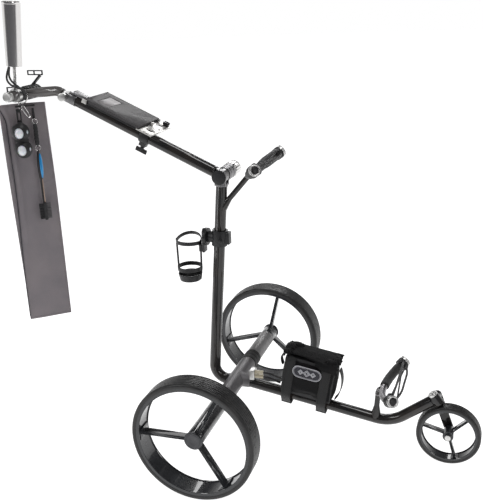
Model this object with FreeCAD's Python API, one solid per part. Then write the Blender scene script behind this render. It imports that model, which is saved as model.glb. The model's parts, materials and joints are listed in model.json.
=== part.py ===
"""Three-wheel electric golf trolley with its accessories. Millimetres, +Z up, +X towards the front wheel.

The design is drawn in the cart frame, whose origin is on the ground under the middle of the rear
axle, and is written out shifted by AXLE_X, so that the row's origin is the middle of the footprint.
"""
import FreeCAD
import Part
import math
import os

V = FreeCAD.Vector
ACROSS = V(0, 1, 0)
UP = V(0, 0, 1)
FORWARD = V(1, 0, 0)

# ---- driving dimensions ----
AXLE_X = -13.05         # the rear axle's place in the row's frame
REAR_R = 150.0          # rear wheels
REAR_WIDTH = 54.0
TRACK = 583.0
TYRE_THICK = 10.5
RIM_THICK = 8.2
FRONT_R = 77.2          # front wheel
FRONT_WIDTH = 31.0
FRONT_X = 545.0
TUBE_R = 14.3           # carbon tubes
TUBE_WALL = 2.0
FRONT_TUBE_R = 13.6
AXLE_TUBE_R = 21.0
HOUSING_R = 22.0
HOUSING_HALF = 88.0
COLLAR_END = 133.0
MOTOR_TUBE_END = 258.0
HUB_END = 304.0
FOLD = V(-16, 0, 699)           # fold hinge at the top of the mast
MAST_FOOT = V(-63.5, 0, 147)    # corner of the mast's bottom bend
MAST_START = V(-22, 0, 147)
MAST_BEND_R = 36.0
FRONT_START = V(36, 0, 146.6)
FRONT_BEND = V(404, 0, 86)
FRONT_END = V(503, 0, 161.8)
FORK_HEAD = V(512, 0, 167)
SHAFT_TILT = 24.8               # rise of the handle's shaft, degrees
SHAFT_END = 446.0               # from the fold hinge to the neck's pivot
BAR = V(-546, 0, 891)           # middle of the T-bar
BAR_R = 12.5
BAR_HALF = 62.0
UMBRELLA_Y = -37.0
UMBRELLA_TILT = 5.3
UMBRELLA_FOOT = 72.8            # from the bar's middle to the bottom of the umbrella tube
UMBRELLA_LENGTH = 152.6
CRADLE_R = 140.0
CRADLE_HALF_ANGLE = 45.6
CRADLE_TILT = 37.6              # direction that a cradle opens in, degrees above +X
CRADLE_OFFSET = 15.5            # from a cradle's pivot to the middle of its tube
CRADLE_TUBE_R = 8.0
CRADLE_PIN_R = 4.0
CRADLE_EAR_FROM = 7.3
UPPER_PIVOT = V(52.7, 0, 702.5)
LOWER_PIVOT = V(371.7, 0, 166.5)
UPPER_STRUT_FOOT = V(-23.2, 0, 615)
LOWER_STRUT_FOOT = V(366, 0, 92.2)
CAGE_PIVOT = V(-60, 0, 541)
CAGE_X = -115.0
CAGE_R = 33.0
BAG_ORIGIN = V(188, 0, 121.6)   # on the front tube's centre line, under the battery bag
BAG_TILT = 9.35                 # fall of the front tube, degrees
BAG_HALF = 71.0
BAG_DEPTH = 38.0
BAG_LOW = 15.6
BAG_TOP = 127.0
BAG_WALL = 4.0
HANG = V(-546, -16, 867.7)      # lowest point of the hanging ring on the T-bar
HANG_TURN = 40.0                # what hangs there is turned this far from the cart's side, degrees
PIN_GAP = 0.05                  # radial clearance of a running fit
FREE_GAP = 0.4                  # gap between pieces that pass each other


# ---- plain shapes ----
def rod(start, direction, length, radius):
    return Part.makeCylinder(radius, length, start, direction)


def pipe(start, direction, length, outer, inner):
    return rod(start, direction, length, outer).cut(rod(start, direction, length, inner))


def between(start, end, radius):
    return rod(start, end - start, (end - start).Length, radius)


def box(low, high):
    return Part.makeBox(high[0] - low[0], high[1] - low[1], high[2] - low[2], V(*low))


def fuse(shapes):
    whole = shapes[0]
    for shape in shapes[1:]:
        whole = whole.fuse(shape)
    return whole.removeSplitter()


def turned(shape, centre, axis, degrees):
    copy = shape.copy()
    copy.rotate(centre, axis, degrees)
    return copy


def ring(centre, axis, middle_radius, wire_radius):
    return Part.makeTorus(middle_radius, wire_radius, centre, axis)


def round_path(points, radii):
    """Straight runs through the points, joined by tangent arcs of the given radii."""
    edges = []
    start = points[0]
    for before, corner, after, radius in zip(points, points[1:], points[2:], radii):
        a = (corner - before).normalize()
        b = (after - corner).normalize()
        half_turn = a.getAngle(b) / 2
        reach = radius * math.tan(half_turn)
        centre = corner + (b - a).normalize() * (radius / math.cos(half_turn))
        first = corner - a * reach
        last = corner + b * reach
        middle = centre + (corner - centre).normalize() * radius
        edges.append(Part.LineSegment(start, first).toShape())
        edges.append(Part.Arc(first, middle, last).toShape())
        start = last
    edges.append(Part.LineSegment(start, points[-1]).toShape())
    return Part.Wire(edges)


def sweep(points, radii, radius):
    path = round_path(points, radii)
    profile = Part.Wire(Part.Circle(points[0], points[1] - points[0], radius).toShape())
    return path.makePipeShell([profile], True, False)


def bent_rod(points, radii, radius):
    """A round bar along straight runs and tangent arcs: cylinders joined by turned elbows."""
    pieces = []
    for edge in round_path(points, radii).Edges:
        start = edge.valueAt(edge.FirstParameter)
        direction = edge.tangentAt(edge.FirstParameter)
        if isinstance(edge.Curve, Part.Line):
            pieces.append(rod(start, direction, edge.Length, radius))
            continue
        disc = Part.Face(Part.Wire(Part.Circle(start, direction, radius).toShape()))
        centre = edge.Curve.Center
        axis = (start - centre).cross(direction)
        turn = math.degrees(edge.Length / edge.Curve.Radius)
        pieces.append(disc.revolve(centre, axis, turn))
    return fuse(pieces)


def bent_tube(points, radii, outer, wall):
    return bent_rod(points, radii, outer).cut(bent_rod(points, radii, outer - wall))


def loose_radii(points):
    """The largest arcs that the runs beside each corner allow."""
    radii = []
    for before, corner, after in zip(points, points[1:], points[2:]):
        a = corner - before
        b = after - corner
        radii.append(0.45 * min(a.Length, b.Length) / math.tan(a.getAngle(b) / 2))
    return radii


# ---- frame ----
def axle_housing():
    arms = pipe(V(0, -HOUSING_HALF, REAR_R), ACROSS, 2 * HOUSING_HALF, HOUSING_R, HOUSING_R - 5)
    core = rod(V(0, -24, REAR_R), ACROSS, 48, HOUSING_R)
    front_dir = (FRONT_BEND - FRONT_START).normalize()
    front_root = FRONT_START - front_dir * 34
    front = Part.makeCone(21, TUBE_R + 0.6, 36, front_root, front_dir)
    back = Part.makeCone(20, TUBE_R + 0.6, -MAST_START.x, V(0, 0, MAST_FOOT.z), V(-1, 0, 0))
    return fuse([arms, core, front, back])


def mast_tube():
    top_dir = (FOLD - MAST_FOOT).normalize()
    top = FOLD - top_dir * 26
    return bent_tube([MAST_START, MAST_FOOT, top], [MAST_BEND_R], TUBE_R, TUBE_WALL)


FRONT_TUBE_START = FRONT_START + (FRONT_BEND - FRONT_START).normalize() * 2
FRONT_TUBE_PATH = [FRONT_TUBE_START, FRONT_BEND, FRONT_END]
FRONT_TUBE_BEND_R = 88.0


def front_tube():
    return bent_tube(FRONT_TUBE_PATH, [FRONT_TUBE_BEND_R], FRONT_TUBE_R, TUBE_WALL)


def motor_tubes():
    tubes = []
    for side in (-1, 1):
        tube = pipe(V(0, side * COLLAR_END, REAR_R), ACROSS * side, MOTOR_TUBE_END - COLLAR_END,
                    AXLE_TUBE_R, AXLE_TUBE_R - TUBE_WALL)
        for groove in (222, 232, 242):
            tube = tube.cut(pipe(V(0, side * groove, REAR_R), ACROSS * side, 2.5,
                                 AXLE_TUBE_R + 1, AXLE_TUBE_R - 0.8))
        tubes.append(tube)
    return Part.makeCompound(tubes)


def motor_collars():
    length = COLLAR_END - HOUSING_HALF
    return Part.makeCompound([pipe(V(0, side * HOUSING_HALF, REAR_R), ACROSS * side, length,
                                   HOUSING_R + 0.6, 10) for side in (-1, 1)])


def drive_motors():
    motors = []
    for side in (-1, 1):
        body = rod(V(0, side * 140, REAR_R), ACROSS * side, MOTOR_TUBE_END - 140, AXLE_TUBE_R - TUBE_WALL)
        shaft = rod(V(0, side * MOTOR_TUBE_END, REAR_R), ACROSS * side, 30, 6)
        motors.append(body.fuse(shaft))
    return Part.makeCompound(motors)


LUG_R = 17.5
KNUCKLE_HALF = 7.7
PIVOT_PIN_R = 6.0


def hinge_barrel():
    """Two lugs on the mast's top, the long barrel beside them and the pivot pin through both."""
    down = (MAST_FOOT - FOLD).normalize()
    near_lug = rod(V(FOLD.x, -24.5, FOLD.z), ACROSS, 16.5, LUG_R)
    far_lug = rod(V(FOLD.x, 8, FOLD.z), ACROSS, 44, LUG_R)
    pin = rod(V(FOLD.x, -21, FOLD.z), ACROSS, 103, PIVOT_PIN_R)
    collar = rod(FOLD + down * 17.6, down, 8.4, TUBE_R + 1)
    socket = rod(FOLD + down * 17.6, down, 36, TUBE_R - TUBE_WALL)
    cheeks = []
    for side in (-1, 1):
        cheek = box((-14, 8 if side > 0 else -14.5, -24), (14, 14.5 if side > 0 else -8, 0))
        cheek = turned(cheek, V(0, 0, 0), ACROSS, math.degrees(math.atan2(-down.x, -down.z)))
        cheek.translate(FOLD)
        cheeks.append(cheek)
    return fuse([near_lug, far_lug, pin, collar, socket] + cheeks)


def strut(foot, pivot):
    """A round strut that flares at its foot, its boss, and the pin that a cradle turns on."""
    direction = (pivot - foot).normalize()
    body = between(foot, pivot, 6.8)
    root = Part.makeCone(15, 6.8, 36, foot, direction)
    boss = rod(pivot - ACROSS * 6.8, ACROSS, 13.6, 6.8)
    pin = rod(pivot - ACROSS * 12.3, ACROSS, 24.6, CRADLE_PIN_R)
    return fuse([body, root, boss, pin])


def upper_strut():
    mast = between(MAST_FOOT, FOLD, TUBE_R + 0.02)
    return strut(UPPER_STRUT_FOOT, UPPER_PIVOT).cut(mast)


def lower_strut():
    tube = bent_rod(FRONT_TUBE_PATH, [FRONT_TUBE_BEND_R], FRONT_TUBE_R + 0.02)
    return strut(LOWER_STRUT_FOOT, LOWER_PIVOT).cut(tube)


# ---- front fork ----
ARM_NEAR = 19.5
ARM_FAR = 25.5


def front_fork():
    """Steering head at the tube's end and the single flat arm down to the axle, on the far side."""
    tube_dir = (FRONT_END - FRONT_BEND).normalize()
    head_dir = V(-tube_dir.z, 0, tube_dir.x)
    head = rod(FORK_HEAD - head_dir * 14, head_dir, 26, 12.5)
    plug = rod(FRONT_END - tube_dir * 20, tube_dir, 24, FRONT_TUBE_R - TUBE_WALL)
    tube = pipe(FRONT_END - tube_dir * 40, tube_dir, 40, FRONT_TUBE_R + 0.02, FRONT_TUBE_R - TUBE_WALL)
    arm_top = V(FORK_HEAD.x, 0, FORK_HEAD.z)
    hub = V(FRONT_X, 0, FRONT_R)
    boss = rod(arm_top, ACROSS, ARM_FAR, 11)
    ends = [rod(at + ACROSS * ARM_NEAR, ACROSS, ARM_FAR - ARM_NEAR, 11.5) for at in (arm_top, hub)]
    length = (hub - arm_top).Length
    arm = box((0, ARM_NEAR, -11.5), (length, ARM_FAR, 11.5))
    arm = turned(arm, V(0, 0, 0), ACROSS, math.degrees(math.atan2(arm_top.z - hub.z, hub.x - arm_top.x)))
    arm.translate(arm_top)
    fork = fuse([head, plug, boss, arm] + ends)
    return fork.cut(rod(hub, ACROSS, 40, 4)).cut(tube)


def fork_bolts():
    """The cap on the steering head, and the front axle bolt with its head and nut."""
    tube_dir = (FRONT_END - FRONT_BEND).normalize()
    head_dir = V(-tube_dir.z, 0, tube_dir.x)
    cap = rod(FORK_HEAD + head_dir * 12, head_dir, 6, 11.5)
    cap = fuse([cap, rod(FORK_HEAD + head_dir * 18, head_dir, 2.5, 8)])
    cap = cap.cut(rod(FRONT_END - tube_dir * 40, tube_dir, 46, FRONT_TUBE_R + 0.02))
    hub = V(FRONT_X, 0, FRONT_R)
    bolt = fuse([rod(hub - ACROSS * 20, ACROSS, 51, 4), rod(hub - ACROSS * 24, ACROSS, 6.5, 7),
                 rod(hub + ACROSS * ARM_FAR, ACROSS, 6, 7.5)])
    return Part.makeCompound([cap, bolt])


# ---- wheels ----
def tyre(centre, radius, width, thickness, shoulder, grooves):
    disc = rod(centre - ACROSS * (width / 2), ACROSS, width, radius)
    rims = [edge for edge in disc.Edges if len(edge.Vertexes) == 1 and edge.Curve.Radius > 1]
    disc = disc.makeFillet(shoulder, rims)
    body = disc.cut(rod(centre - ACROSS * width, ACROSS, 2 * width, radius - thickness))
    for place in grooves:
        at = centre + ACROSS * (place - 0.8)
        body = body.cut(pipe(at, ACROSS, 1.6, radius + 1, radius - 1.5))
    return body


def rim(centre, outer, width, thickness, lip):
    """A hoop with a raised lip along each edge of its inner face."""
    hoop = pipe(centre - ACROSS * (width / 2), ACROSS, width, outer, outer - thickness)
    channel = rod(centre - ACROSS * (width / 2 - lip), ACROSS, width - 2 * lip, outer - thickness + 2.2)
    return hoop.cut(channel)


def spokes(centre, hub, bore, reach, start_angle, size, foot):
    """Three flat spokes with T-shaped feet, made in one piece with the hub."""
    tangential, axial = size
    foot_long, foot_wide = foot
    pieces = [hub]
    limit = rod(centre - ACROSS * 40, ACROSS, 80, reach)
    for number in range(3):
        bar = box((8, -axial / 2, -tangential / 2), (reach - 1.5, axial / 2, tangential / 2))
        plate = box((reach - 3.4, -foot_wide / 2, -foot_long / 2), (reach + 2, foot_wide / 2, foot_long / 2))
        arm = turned(bar.fuse(plate), V(0, 0, 0), ACROSS, -(start_angle + 120 * number))
        arm.translate(centre)
        pieces.append(arm.common(limit))
    return fuse(pieces).cut(bore)


def rear_wheel(side, start_angle):
    centre = V(0, side * TRACK / 2, REAR_R)
    rim_outer = REAR_R - TYRE_THICK
    hub = rod(V(0, side * (MOTOR_TUBE_END + 1), REAR_R), ACROSS * side,
              HUB_END - MOTOR_TUBE_END - 1, AXLE_TUBE_R)
    bore = rod(V(0, side * MOTOR_TUBE_END, REAR_R), ACROSS * side, 32, 6 + PIN_GAP)
    cap = fuse([rod(V(0, side * HUB_END, REAR_R), ACROSS * side, 2, 22.5),
                Part.makeCone(22.5, 19, 1.5, V(0, side * (HUB_END + 2), REAR_R), ACROSS * side)])
    grooves = [-20, -12, -4, 4, 12, 20]
    return {
        "tyre": tyre(centre, REAR_R, REAR_WIDTH, TYRE_THICK, 5, grooves),
        "rim": rim(centre, rim_outer, REAR_WIDTH - 2, RIM_THICK, 3),
        "spokes": spokes(centre, hub, bore, rim_outer - RIM_THICK + 2.1, start_angle, (9, 17), (26, 40)),
        "hub_cap": cap,
    }


def front_wheel():
    centre = V(FRONT_X, 0, FRONT_R)
    rim_outer = FRONT_R - 8
    hub = rod(centre - ACROSS * 16, ACROSS, 33, 13)
    bore = rod(centre - ACROSS * 30, ACROSS, 60, 4 + PIN_GAP)
    return {
        "tyre": tyre(centre, FRONT_R, FRONT_WIDTH, 8, 5, [-5, 5]),
        "rim": rim(centre, rim_outer, FRONT_WIDTH - 2, 5.6, 2),
        "spokes": spokes(centre, hub, bore, rim_outer - 5.6 + 2.1, 45, (6, 12), (16, 22)),
    }


# ---- battery ----
def on_bag(shape):
    """From the bag's own frame, along the front tube, to the cart's."""
    copy = turned(shape, V(0, 0, 0), ACROSS, BAG_TILT)
    copy.translate(BAG_ORIGIN)
    return copy


def battery_bag():
    outer = box((-BAG_HALF, -BAG_DEPTH, BAG_LOW), (BAG_HALF, BAG_DEPTH, BAG_TOP))
    outer = outer.makeFillet(8, [e for e in outer.Edges if abs(e.Vertexes[0].Z - e.Vertexes[-1].Z) > 50])
    inside = box((-BAG_HALF + BAG_WALL, -BAG_DEPTH + BAG_WALL, BAG_LOW + BAG_WALL),
                 (BAG_HALF - BAG_WALL, BAG_DEPTH - BAG_WALL, BAG_TOP + 1))
    return on_bag(outer.cut(inside))


def bag_flap():
    top = box((-BAG_HALF, -BAG_DEPTH - 3.4, BAG_TOP + FREE_GAP),
              (BAG_HALF, BAG_DEPTH, BAG_TOP + FREE_GAP + 3))
    lip = box((-BAG_HALF, -BAG_DEPTH - 3.4, BAG_TOP - 13), (BAG_HALF, -BAG_DEPTH - FREE_GAP, BAG_TOP + 1))
    return on_bag(top.fuse(lip))


def battery_pack():
    return on_bag(box((-64, -31, BAG_LOW + BAG_WALL), (64, 31, BAG_TOP - 6)))


def bag_straps():
    """Two webbing straps around the bag and the tube, with buckles, and the hand loop at the front."""
    outline = [(-40.4, 111), (-40.4, 12), (-17, -17.5), (17, -17.5), (40.4, 12), (40.4, 111),
               (38.4, 111), (38.4, 13), (15.6, -14.6), (-15.6, -14.6), (-38.4, 13), (-38.4, 111)]
    pieces = []
    for place in (-48, 44):
        points = [V(place - 12, y, z) for y, z in outline]
        face = Part.Face(Part.makePolygon(points + points[:1]))
        strap = face.extrude(V(24, 0, 0))
        buckle = box((place - 14, -13, -24), (place + 14, 13, -17.5))
        pieces.append(on_bag(strap.fuse(buckle)))
    low, high, bulge, thick = 24.0, 104.0, 12.0, 2.0
    half = (high - low) / 2
    radius = (half * half + bulge * bulge) / (2 * bulge)
    centre = V(BAG_HALF + 0.3 + bulge - radius, -12, (low + high) / 2)
    loop = pipe(centre, ACROSS, 24, radius, radius - thick)
    loop = loop.common(box((BAG_HALF + 0.3, -12, low - 5), (BAG_HALF + 20, 12, high + 5)))
    pieces.append(on_bag(loop))
    return Part.makeCompound(pieces)


PLUG_LOW = V(40, -20, 163)
PLUG_HIGH = V(54, 4, 190)


def battery_plug():
    """Socket block on the housing's front stub, with the two plugs pushed into it."""
    block = box(PLUG_LOW, PLUG_HIGH)
    foot = box((41, -6, 150), (52, 4, 164))
    barrels = [rod(V(54, -8, z), FORWARD, 22, 5.2) for z in (170.5, 182.5)]
    tube = between(FRONT_TUBE_START, FRONT_BEND, FRONT_TUBE_R + 0.02)
    return fuse([block, foot] + barrels).cut(tube)


LEADS = [[V(76, -8, 170.5), V(92, -8, 170.5), V(106, -7, 164), V(121, -7, 160)],
         [V(76, -8, 182.5), V(92, -8, 182.5), V(108, -7, 176), V(123.5, -7, 173)]]


def battery_lead():
    return Part.makeCompound([sweep(run, loose_radii(run), 3.2) for run in LEADS])


# ---- handle ----
def handle_axis():
    angle = math.radians(SHAFT_TILT)
    along = V(-math.cos(angle), 0, math.sin(angle))
    normal = V(math.sin(angle), 0, math.cos(angle))
    return along, normal


def on_shaft(shape):
    """From the shaft's own frame, x up the shaft, y across and z away from it, to the cart's."""
    copy = shape.mirror(V(0, 0, 0), FORWARD)
    copy = turned(copy, V(0, 0, 0), ACROSS, SHAFT_TILT)
    copy.translate(FOLD)
    return copy


def handle_shaft():
    along, normal = handle_axis()
    return pipe(FOLD + along * 24, along, SHAFT_END - 24 - 20, TUBE_R, TUBE_R - TUBE_WALL)


def handle_knuckle():
    along, normal = handle_axis()
    disc = rod(V(FOLD.x, -KNUCKLE_HALF, FOLD.z), ACROSS, 2 * KNUCKLE_HALF, 17)
    link = on_shaft(box((0, -KNUCKLE_HALF, -12), (20, KNUCKLE_HALF, 12)))
    flange = rod(FOLD + along * 19, along, 5, TUBE_R)
    plug = rod(FOLD + along * 19, along, 30, TUBE_R - TUBE_WALL)
    hole = rod(V(FOLD.x, -30, FOLD.z), ACROSS, 60, PIVOT_PIN_R + PIN_GAP)
    return fuse([disc, link, flange, plug]).cut(hole)


def hinge_knob():
    knob = rod(V(FOLD.x, 53, FOLD.z), ACROSS, 38, 20)
    for number in range(12):
        angle = math.radians(30 * number)
        at = V(FOLD.x + 21.5 * math.cos(angle), 52, FOLD.z + 21.5 * math.sin(angle))
        knob = knob.cut(rod(at, ACROSS, 30, 2.6))
    return knob.cut(rod(V(FOLD.x, 50, FOLD.z), ACROSS, 33, PIVOT_PIN_R + PIN_GAP))


NECK_PIN_R = 5.0


def neck_bracket():
    """Silver clevis on the shaft's upper end, with the tie plate along the top of the shaft."""
    cheeks = []
    for low, high in ((-15.5, -8.4), (8.4, 15.5)):
        cheeks.append(box((SHAFT_END - 26, low, -10), (SHAFT_END, high, 10)))
        cheeks.append(rod(V(SHAFT_END, low, 0), ACROSS, high - low, 10))
    end = rod(V(SHAFT_END - 30, 0, 0), FORWARD, 14, TUBE_R + 1.2)
    plug = rod(V(SHAFT_END - 60, 0, 0), FORWARD, 40, TUBE_R - TUBE_WALL)
    plate = box((SHAFT_END - 62, -10, TUBE_R + 0.1), (SHAFT_END - 18, 10, TUBE_R + 8))
    pin = rod(V(SHAFT_END, -24, 0), ACROSS, 44, NECK_PIN_R)
    shaft = rod(V(0, 0, 0), FORWARD, SHAFT_END - 20, TUBE_R + 0.02)
    shaft = shaft.cut(rod(V(0, 0, 0), FORWARD, SHAFT_END - 20, TUBE_R - TUBE_WALL))
    return on_shaft(fuse(cheeks + [end, plug, plate, pin]).cut(shaft))


def neck_knob():
    knob = rod(V(SHAFT_END, -30, 0), ACROSS, 14, 10)
    for number in range(10):
        angle = math.radians(36 * number)
        at = V(SHAFT_END + 10.6 * math.cos(angle), -31, 10.6 * math.sin(angle))
        knob = knob.cut(rod(at, ACROSS, 16, 1.3))
    return on_shaft(knob.cut(rod(V(SHAFT_END, -25, 0), ACROSS, 12, NECK_PIN_R + PIN_GAP)))


# ---- scorecard board, in the shaft's frame ----
BASE_FROM, BASE_TO = 182.0, 369.0
LID_FROM, LID_TO = 219.0, 375.0
LID_HINGE_Z = 33.0


def slot(centre_x, centre_y, long_half, short_half):
    low = centre_x - long_half + short_half
    high = centre_x + long_half - short_half
    ends = [rod(V(x, centre_y, 20), UP, 20, short_half) for x in (low, high)]
    return fuse(ends + [box((low, centre_y - short_half, 20), (high, centre_y + short_half, 40))])


def board_base():
    plate = box((BASE_FROM, -58, 26.5), (BASE_TO, 58, 29.5))
    plate = plate.cut(slot(199, -27, 11, 17 / 2)).cut(slot(200, 28, 11, 17 / 2))
    plate = plate.cut(rod(V(190, 2, 20), UP, 20, 2.5))
    post = rod(V(212, 4, 29.5), UP, 9, 3.2)
    hinge_pin = rod(V(LID_TO - 4, -63, LID_HINGE_Z), ACROSS, 126, 1.5)
    ears = [box((LID_TO - 12, y - 2, 26.5), (LID_TO, y + 2, LID_HINGE_Z + 2.5)) for y in (-61, 61)]
    bridge = [box((LID_TO - 12, min(y, 57 * (1 if y > 0 else -1)), 26.5),
                  (LID_TO - 7, max(y, 57 * (1 if y > 0 else -1)), 29.5)) for y in (-61, 61)]
    return on_shaft(fuse([plate, post, hinge_pin] + ears + bridge))


def board_clamp():
    """Block between the plate and the shaft, and the band and nut block under the shaft."""
    block = box((203, -15, 0), (227, 15, 26.5))
    band = rod(V(203, 0, 0), FORWARD, 24, TUBE_R + 4)
    nut = box((206, -8, -26), (224, 8, 0))
    upper = box((300, -10, 8), (324, 10, 26.5))
    shaft = rod(V(100, 0, 0), FORWARD, 300, TUBE_R + 0.02)
    return on_shaft(Part.makeCompound([fuse([block, band, nut]).cut(shaft), upper.cut(shaft)]))


def wing_screw():
    stem = rod(V(215, 0, -36), UP, 9.6, 3)
    hub = rod(V(215, 0, -37), UP, 8, 5)
    wings = [turned(box((215, -1.6, -44), (230, 1.6, -33)), V(215, 0, 0), UP, angle) for angle in (0, 180)]
    return on_shaft(fuse([stem, hub] + wings))


def scorecard_lid():
    """Shallow tray lid with a recess; its knuckles turn on the base's hinge pin."""
    lid = box((LID_FROM, -58, 30), (LID_TO - 14, 58, 36.5))
    lid = lid.cut(box((LID_FROM + 3, -55, 29), (LID_TO - 17, 55, 33.5)))
    window = box((LID_TO - 60, -34, 35.3), (LID_TO - 24, 34, 38))
    leaf = box((LID_TO - 16, -58, 33.5), (LID_TO - 4, 58, 36.5))
    knuckle = rod(V(LID_TO - 4, -58, LID_HINGE_Z), ACROSS, 116, 3.5)
    hole = rod(V(LID_TO - 4, -70, LID_HINGE_Z), ACROSS, 140, 1.5 + PIN_GAP)
    hook = box((LID_FROM - 5, 46, 31), (LID_FROM, 58, 35))
    return on_shaft(fuse([lid, leaf, knuckle, hook]).cut(window).cut(hole))


def pencil_clip():
    body = box((187, 46, 29.5), (201, 54, 34))
    arch = pipe(V(187, 50, 37), FORWARD, 14, 6.5, 4.2).cut(box((180, 40, 39), (210, 60, 50)))
    return on_shaft(body.fuse(arch))


# ---- neck, T-bar and dial ----

def neck_points():
    along, normal = handle_axis()
    pivot = FOLD + along * SHAFT_END
    corner_x = -445.0
    corner = V(corner_x, 0, BAR.z + 0.07 * (corner_x - BAR.x))
    return pivot, corner


def neck_tube():
    pivot, corner = neck_points()
    along, normal = handle_axis()
    eye = rod(pivot - ACROSS * 8, ACROSS, 16, 10)
    hole = rod(pivot - ACROSS * 30, ACROSS, 60, NECK_PIN_R + PIN_GAP)
    link = on_shaft(box((SHAFT_END, -8, -8), (SHAFT_END + 16, 8, 8)))
    start = pivot + along * 14
    tube = bent_rod([start, corner, BAR], [40], BAR_R)
    tube = tube.cut(bent_rod([start + along * 1, corner, BAR], [40], BAR_R - TUBE_WALL))
    keep_out = rod(BAR - ACROSS * 80, ACROSS, 160, BAR_R)
    return fuse([eye, link, tube]).cut(hole).cut(keep_out)


def t_bar():
    bar = pipe(BAR - ACROSS * BAR_HALF, ACROSS, 2 * BAR_HALF, BAR_R, BAR_R - TUBE_WALL)
    plug = rod(BAR + ACROSS * (BAR_HALF - 12), ACROSS, 16, BAR_R - TUBE_WALL)
    cap = rod(BAR + ACROSS * BAR_HALF, ACROSS, 4, BAR_R)
    spindle = rod(BAR - ACROSS * (BAR_HALF + 8), ACROSS, 30, 3)
    seat = rod(BAR - ACROSS * BAR_HALF, ACROSS, 14, BAR_R - TUBE_WALL)
    return fuse([bar, plug, cap, spindle, seat])


def speed_dial():
    dial = rod(BAR - ACROSS * (BAR_HALF + 14), ACROSS, 13.5, 12.8)
    for number in range(24):
        angle = math.radians(15 * number)
        at = BAR + V(13.2 * math.cos(angle), -(BAR_HALF + 12), 13.2 * math.sin(angle))
        dial = dial.cut(rod(at, ACROSS, 9, 0.8))
    return dial.cut(rod(BAR - ACROSS * (BAR_HALF + 8.5), ACROSS, 12, 3 + PIN_GAP))


def frame_link(low, high, gaps, y, thick):
    """A flat upright link with rectangular gaps through it."""
    link = box((low[0], y, low[1]), (high[0], y + thick, high[1]))
    for start, end in gaps:
        link = link.cut(box((start, y - 5, low[1] + 3), (end, y + thick + 5, high[1] - 3)))
    return link


def device_strap():
    """Silicone band around the bar with a stretched tail and its loops, for a small device."""
    sleeve = rod(BAR + ACROSS * -4, ACROSS, 62, 17)
    ribs = [rod(BAR + ACROSS * y, ACROSS, 3, 18.2) for y in (2, 14, 26, 38, 50)]
    tail = box((-8, 44, 0), (34, 55, 5))
    tail = turned(tail, V(0, 0, 0), ACROSS, -43)
    tail.translate(BAR + V(-3, 0, 14))
    loops = frame_link((-562, 931), (-516, 944), [(-559, -543), (-540, -519)], 46, 4)
    back_loop = frame_link((-596, 893), (-560, 907), [(-593, -570)], -3.6, 4)
    pivot, corner = neck_points()
    hollow = rod(BAR - ACROSS * 80, ACROSS, 160, BAR_R + 0.02)
    neck_way = rod(BAR, corner - BAR, 60, BAR_R + 0.5)
    return fuse([sleeve] + ribs + [tail, loops, back_loop]).cut(hollow).cut(neck_way)


# ---- umbrella holder ----
def umbrella_axis():
    angle = math.radians(UMBRELLA_TILT)
    return V(math.sin(angle), 0, math.cos(angle)), BAR + ACROSS * UMBRELLA_Y


def umbrella_stem():
    up, foot = umbrella_axis()
    collar = rod(foot - ACROSS * 6, ACROSS, 12, 17)
    neck = rod(foot + up * 14, up, 12, 7)
    stem = rod(foot + up * 14, up, UMBRELLA_FOOT - 14, 4)
    bore = rod(foot - ACROSS * 20, ACROSS, 40, BAR_R + PIN_GAP)
    return fuse([collar, neck, stem]).cut(bore)


def umbrella_tube():
    up, foot = umbrella_axis()
    base = foot + up * UMBRELLA_FOOT
    outer = Part.makeCone(19.9, 22.2, UMBRELLA_LENGTH, base, up)
    brim = rod(base + up * (UMBRELLA_LENGTH - 5), up, 5, 22.9)
    bore = rod(base + up * 4, up, UMBRELLA_LENGTH, 18.4)
    flare = Part.makeCone(18.4, 21.0, UMBRELLA_LENGTH - 60, base + up * 60, up)
    return fuse([outer, brim]).cut(bore).cut(flare)


WRAP_R = 15.8
CORD_R = 2.6


def wrapped_cord(fall, wrap_y):
    """From under the umbrella tube, across the stem, and once around the bar."""
    points = list(fall)
    corner_r = WRAP_R / math.cos(math.radians(22.5))
    for step in range(8):
        angle = math.radians(20 - 45 * step)
        points.append(BAR + V(corner_r * math.cos(angle), wrap_y + 0.1 * step, corner_r * math.sin(angle)))
    return points


CORDS = [wrapped_cord([V(-552, -40, 961), V(-554, -44, 946), V(-547, -50, 930), V(-534, -46, 917),
                       V(-527.5, -35, 906)], -27.2),
         wrapped_cord([V(-557, -34, 962), V(-561, -42, 945), V(-555, -54, 929), V(-541, -53, 915),
                       V(-526, -44, 910), V(-520, -32, 903)], -21.4)]


def umbrella_cords():
    return Part.makeCompound([sweep(points, loose_radii(points), CORD_R) for points in CORDS])


# ---- what hangs from the T-bar ----
def hang_axes():
    angle = math.radians(HANG_TURN)
    return V(math.cos(angle), math.sin(angle), 0), V(-math.sin(angle), math.cos(angle), 0)


def on_hook(shape):
    """From the hanging frame, x along the towel's width, y away, z up, to the cart's."""
    copy = turned(shape, V(0, 0, 0), UP, HANG_TURN)
    copy.translate(HANG)
    return copy


def hang_ring():
    """Ring over the bar, and the snap hook through it that the small things hang from."""
    loop = ring(V(HANG.x, HANG.y, BAR.z + BAR_R + 0.3 - 17), ACROSS, 18.8, 1.8)
    hook = rod(V(-18, -8, -5.7), FORWARD, 48, 2.2)
    link = between(V(0, -8, -5.7), V(0, -0.5, -1.2), 1.8)
    return Part.makeCompound([loop.fuse(on_hook(fuse([hook, link])))])


TOWEL_WIDTH, TOWEL_LONG, TOWEL_THICK = 125.0, 590.0, 6.0


def towel():
    sheet = box((-TOWEL_WIDTH / 2, -2.5, -TOWEL_LONG), (TOWEL_WIDTH / 2, TOWEL_THICK - 2.5, 0.3))
    notch = rod(V(0, -10, 0), ACROSS, 30, 7.5)
    hook_way = box((-9, -10, -4), (9, 30, 2))
    return on_hook(sheet.cut(notch).cut(hook_way))


BALL_R = 21.35
BALL_PLACES = [V(-14.4, -27, -67.7), V(-12.5, -27, -111.7)]


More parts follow.
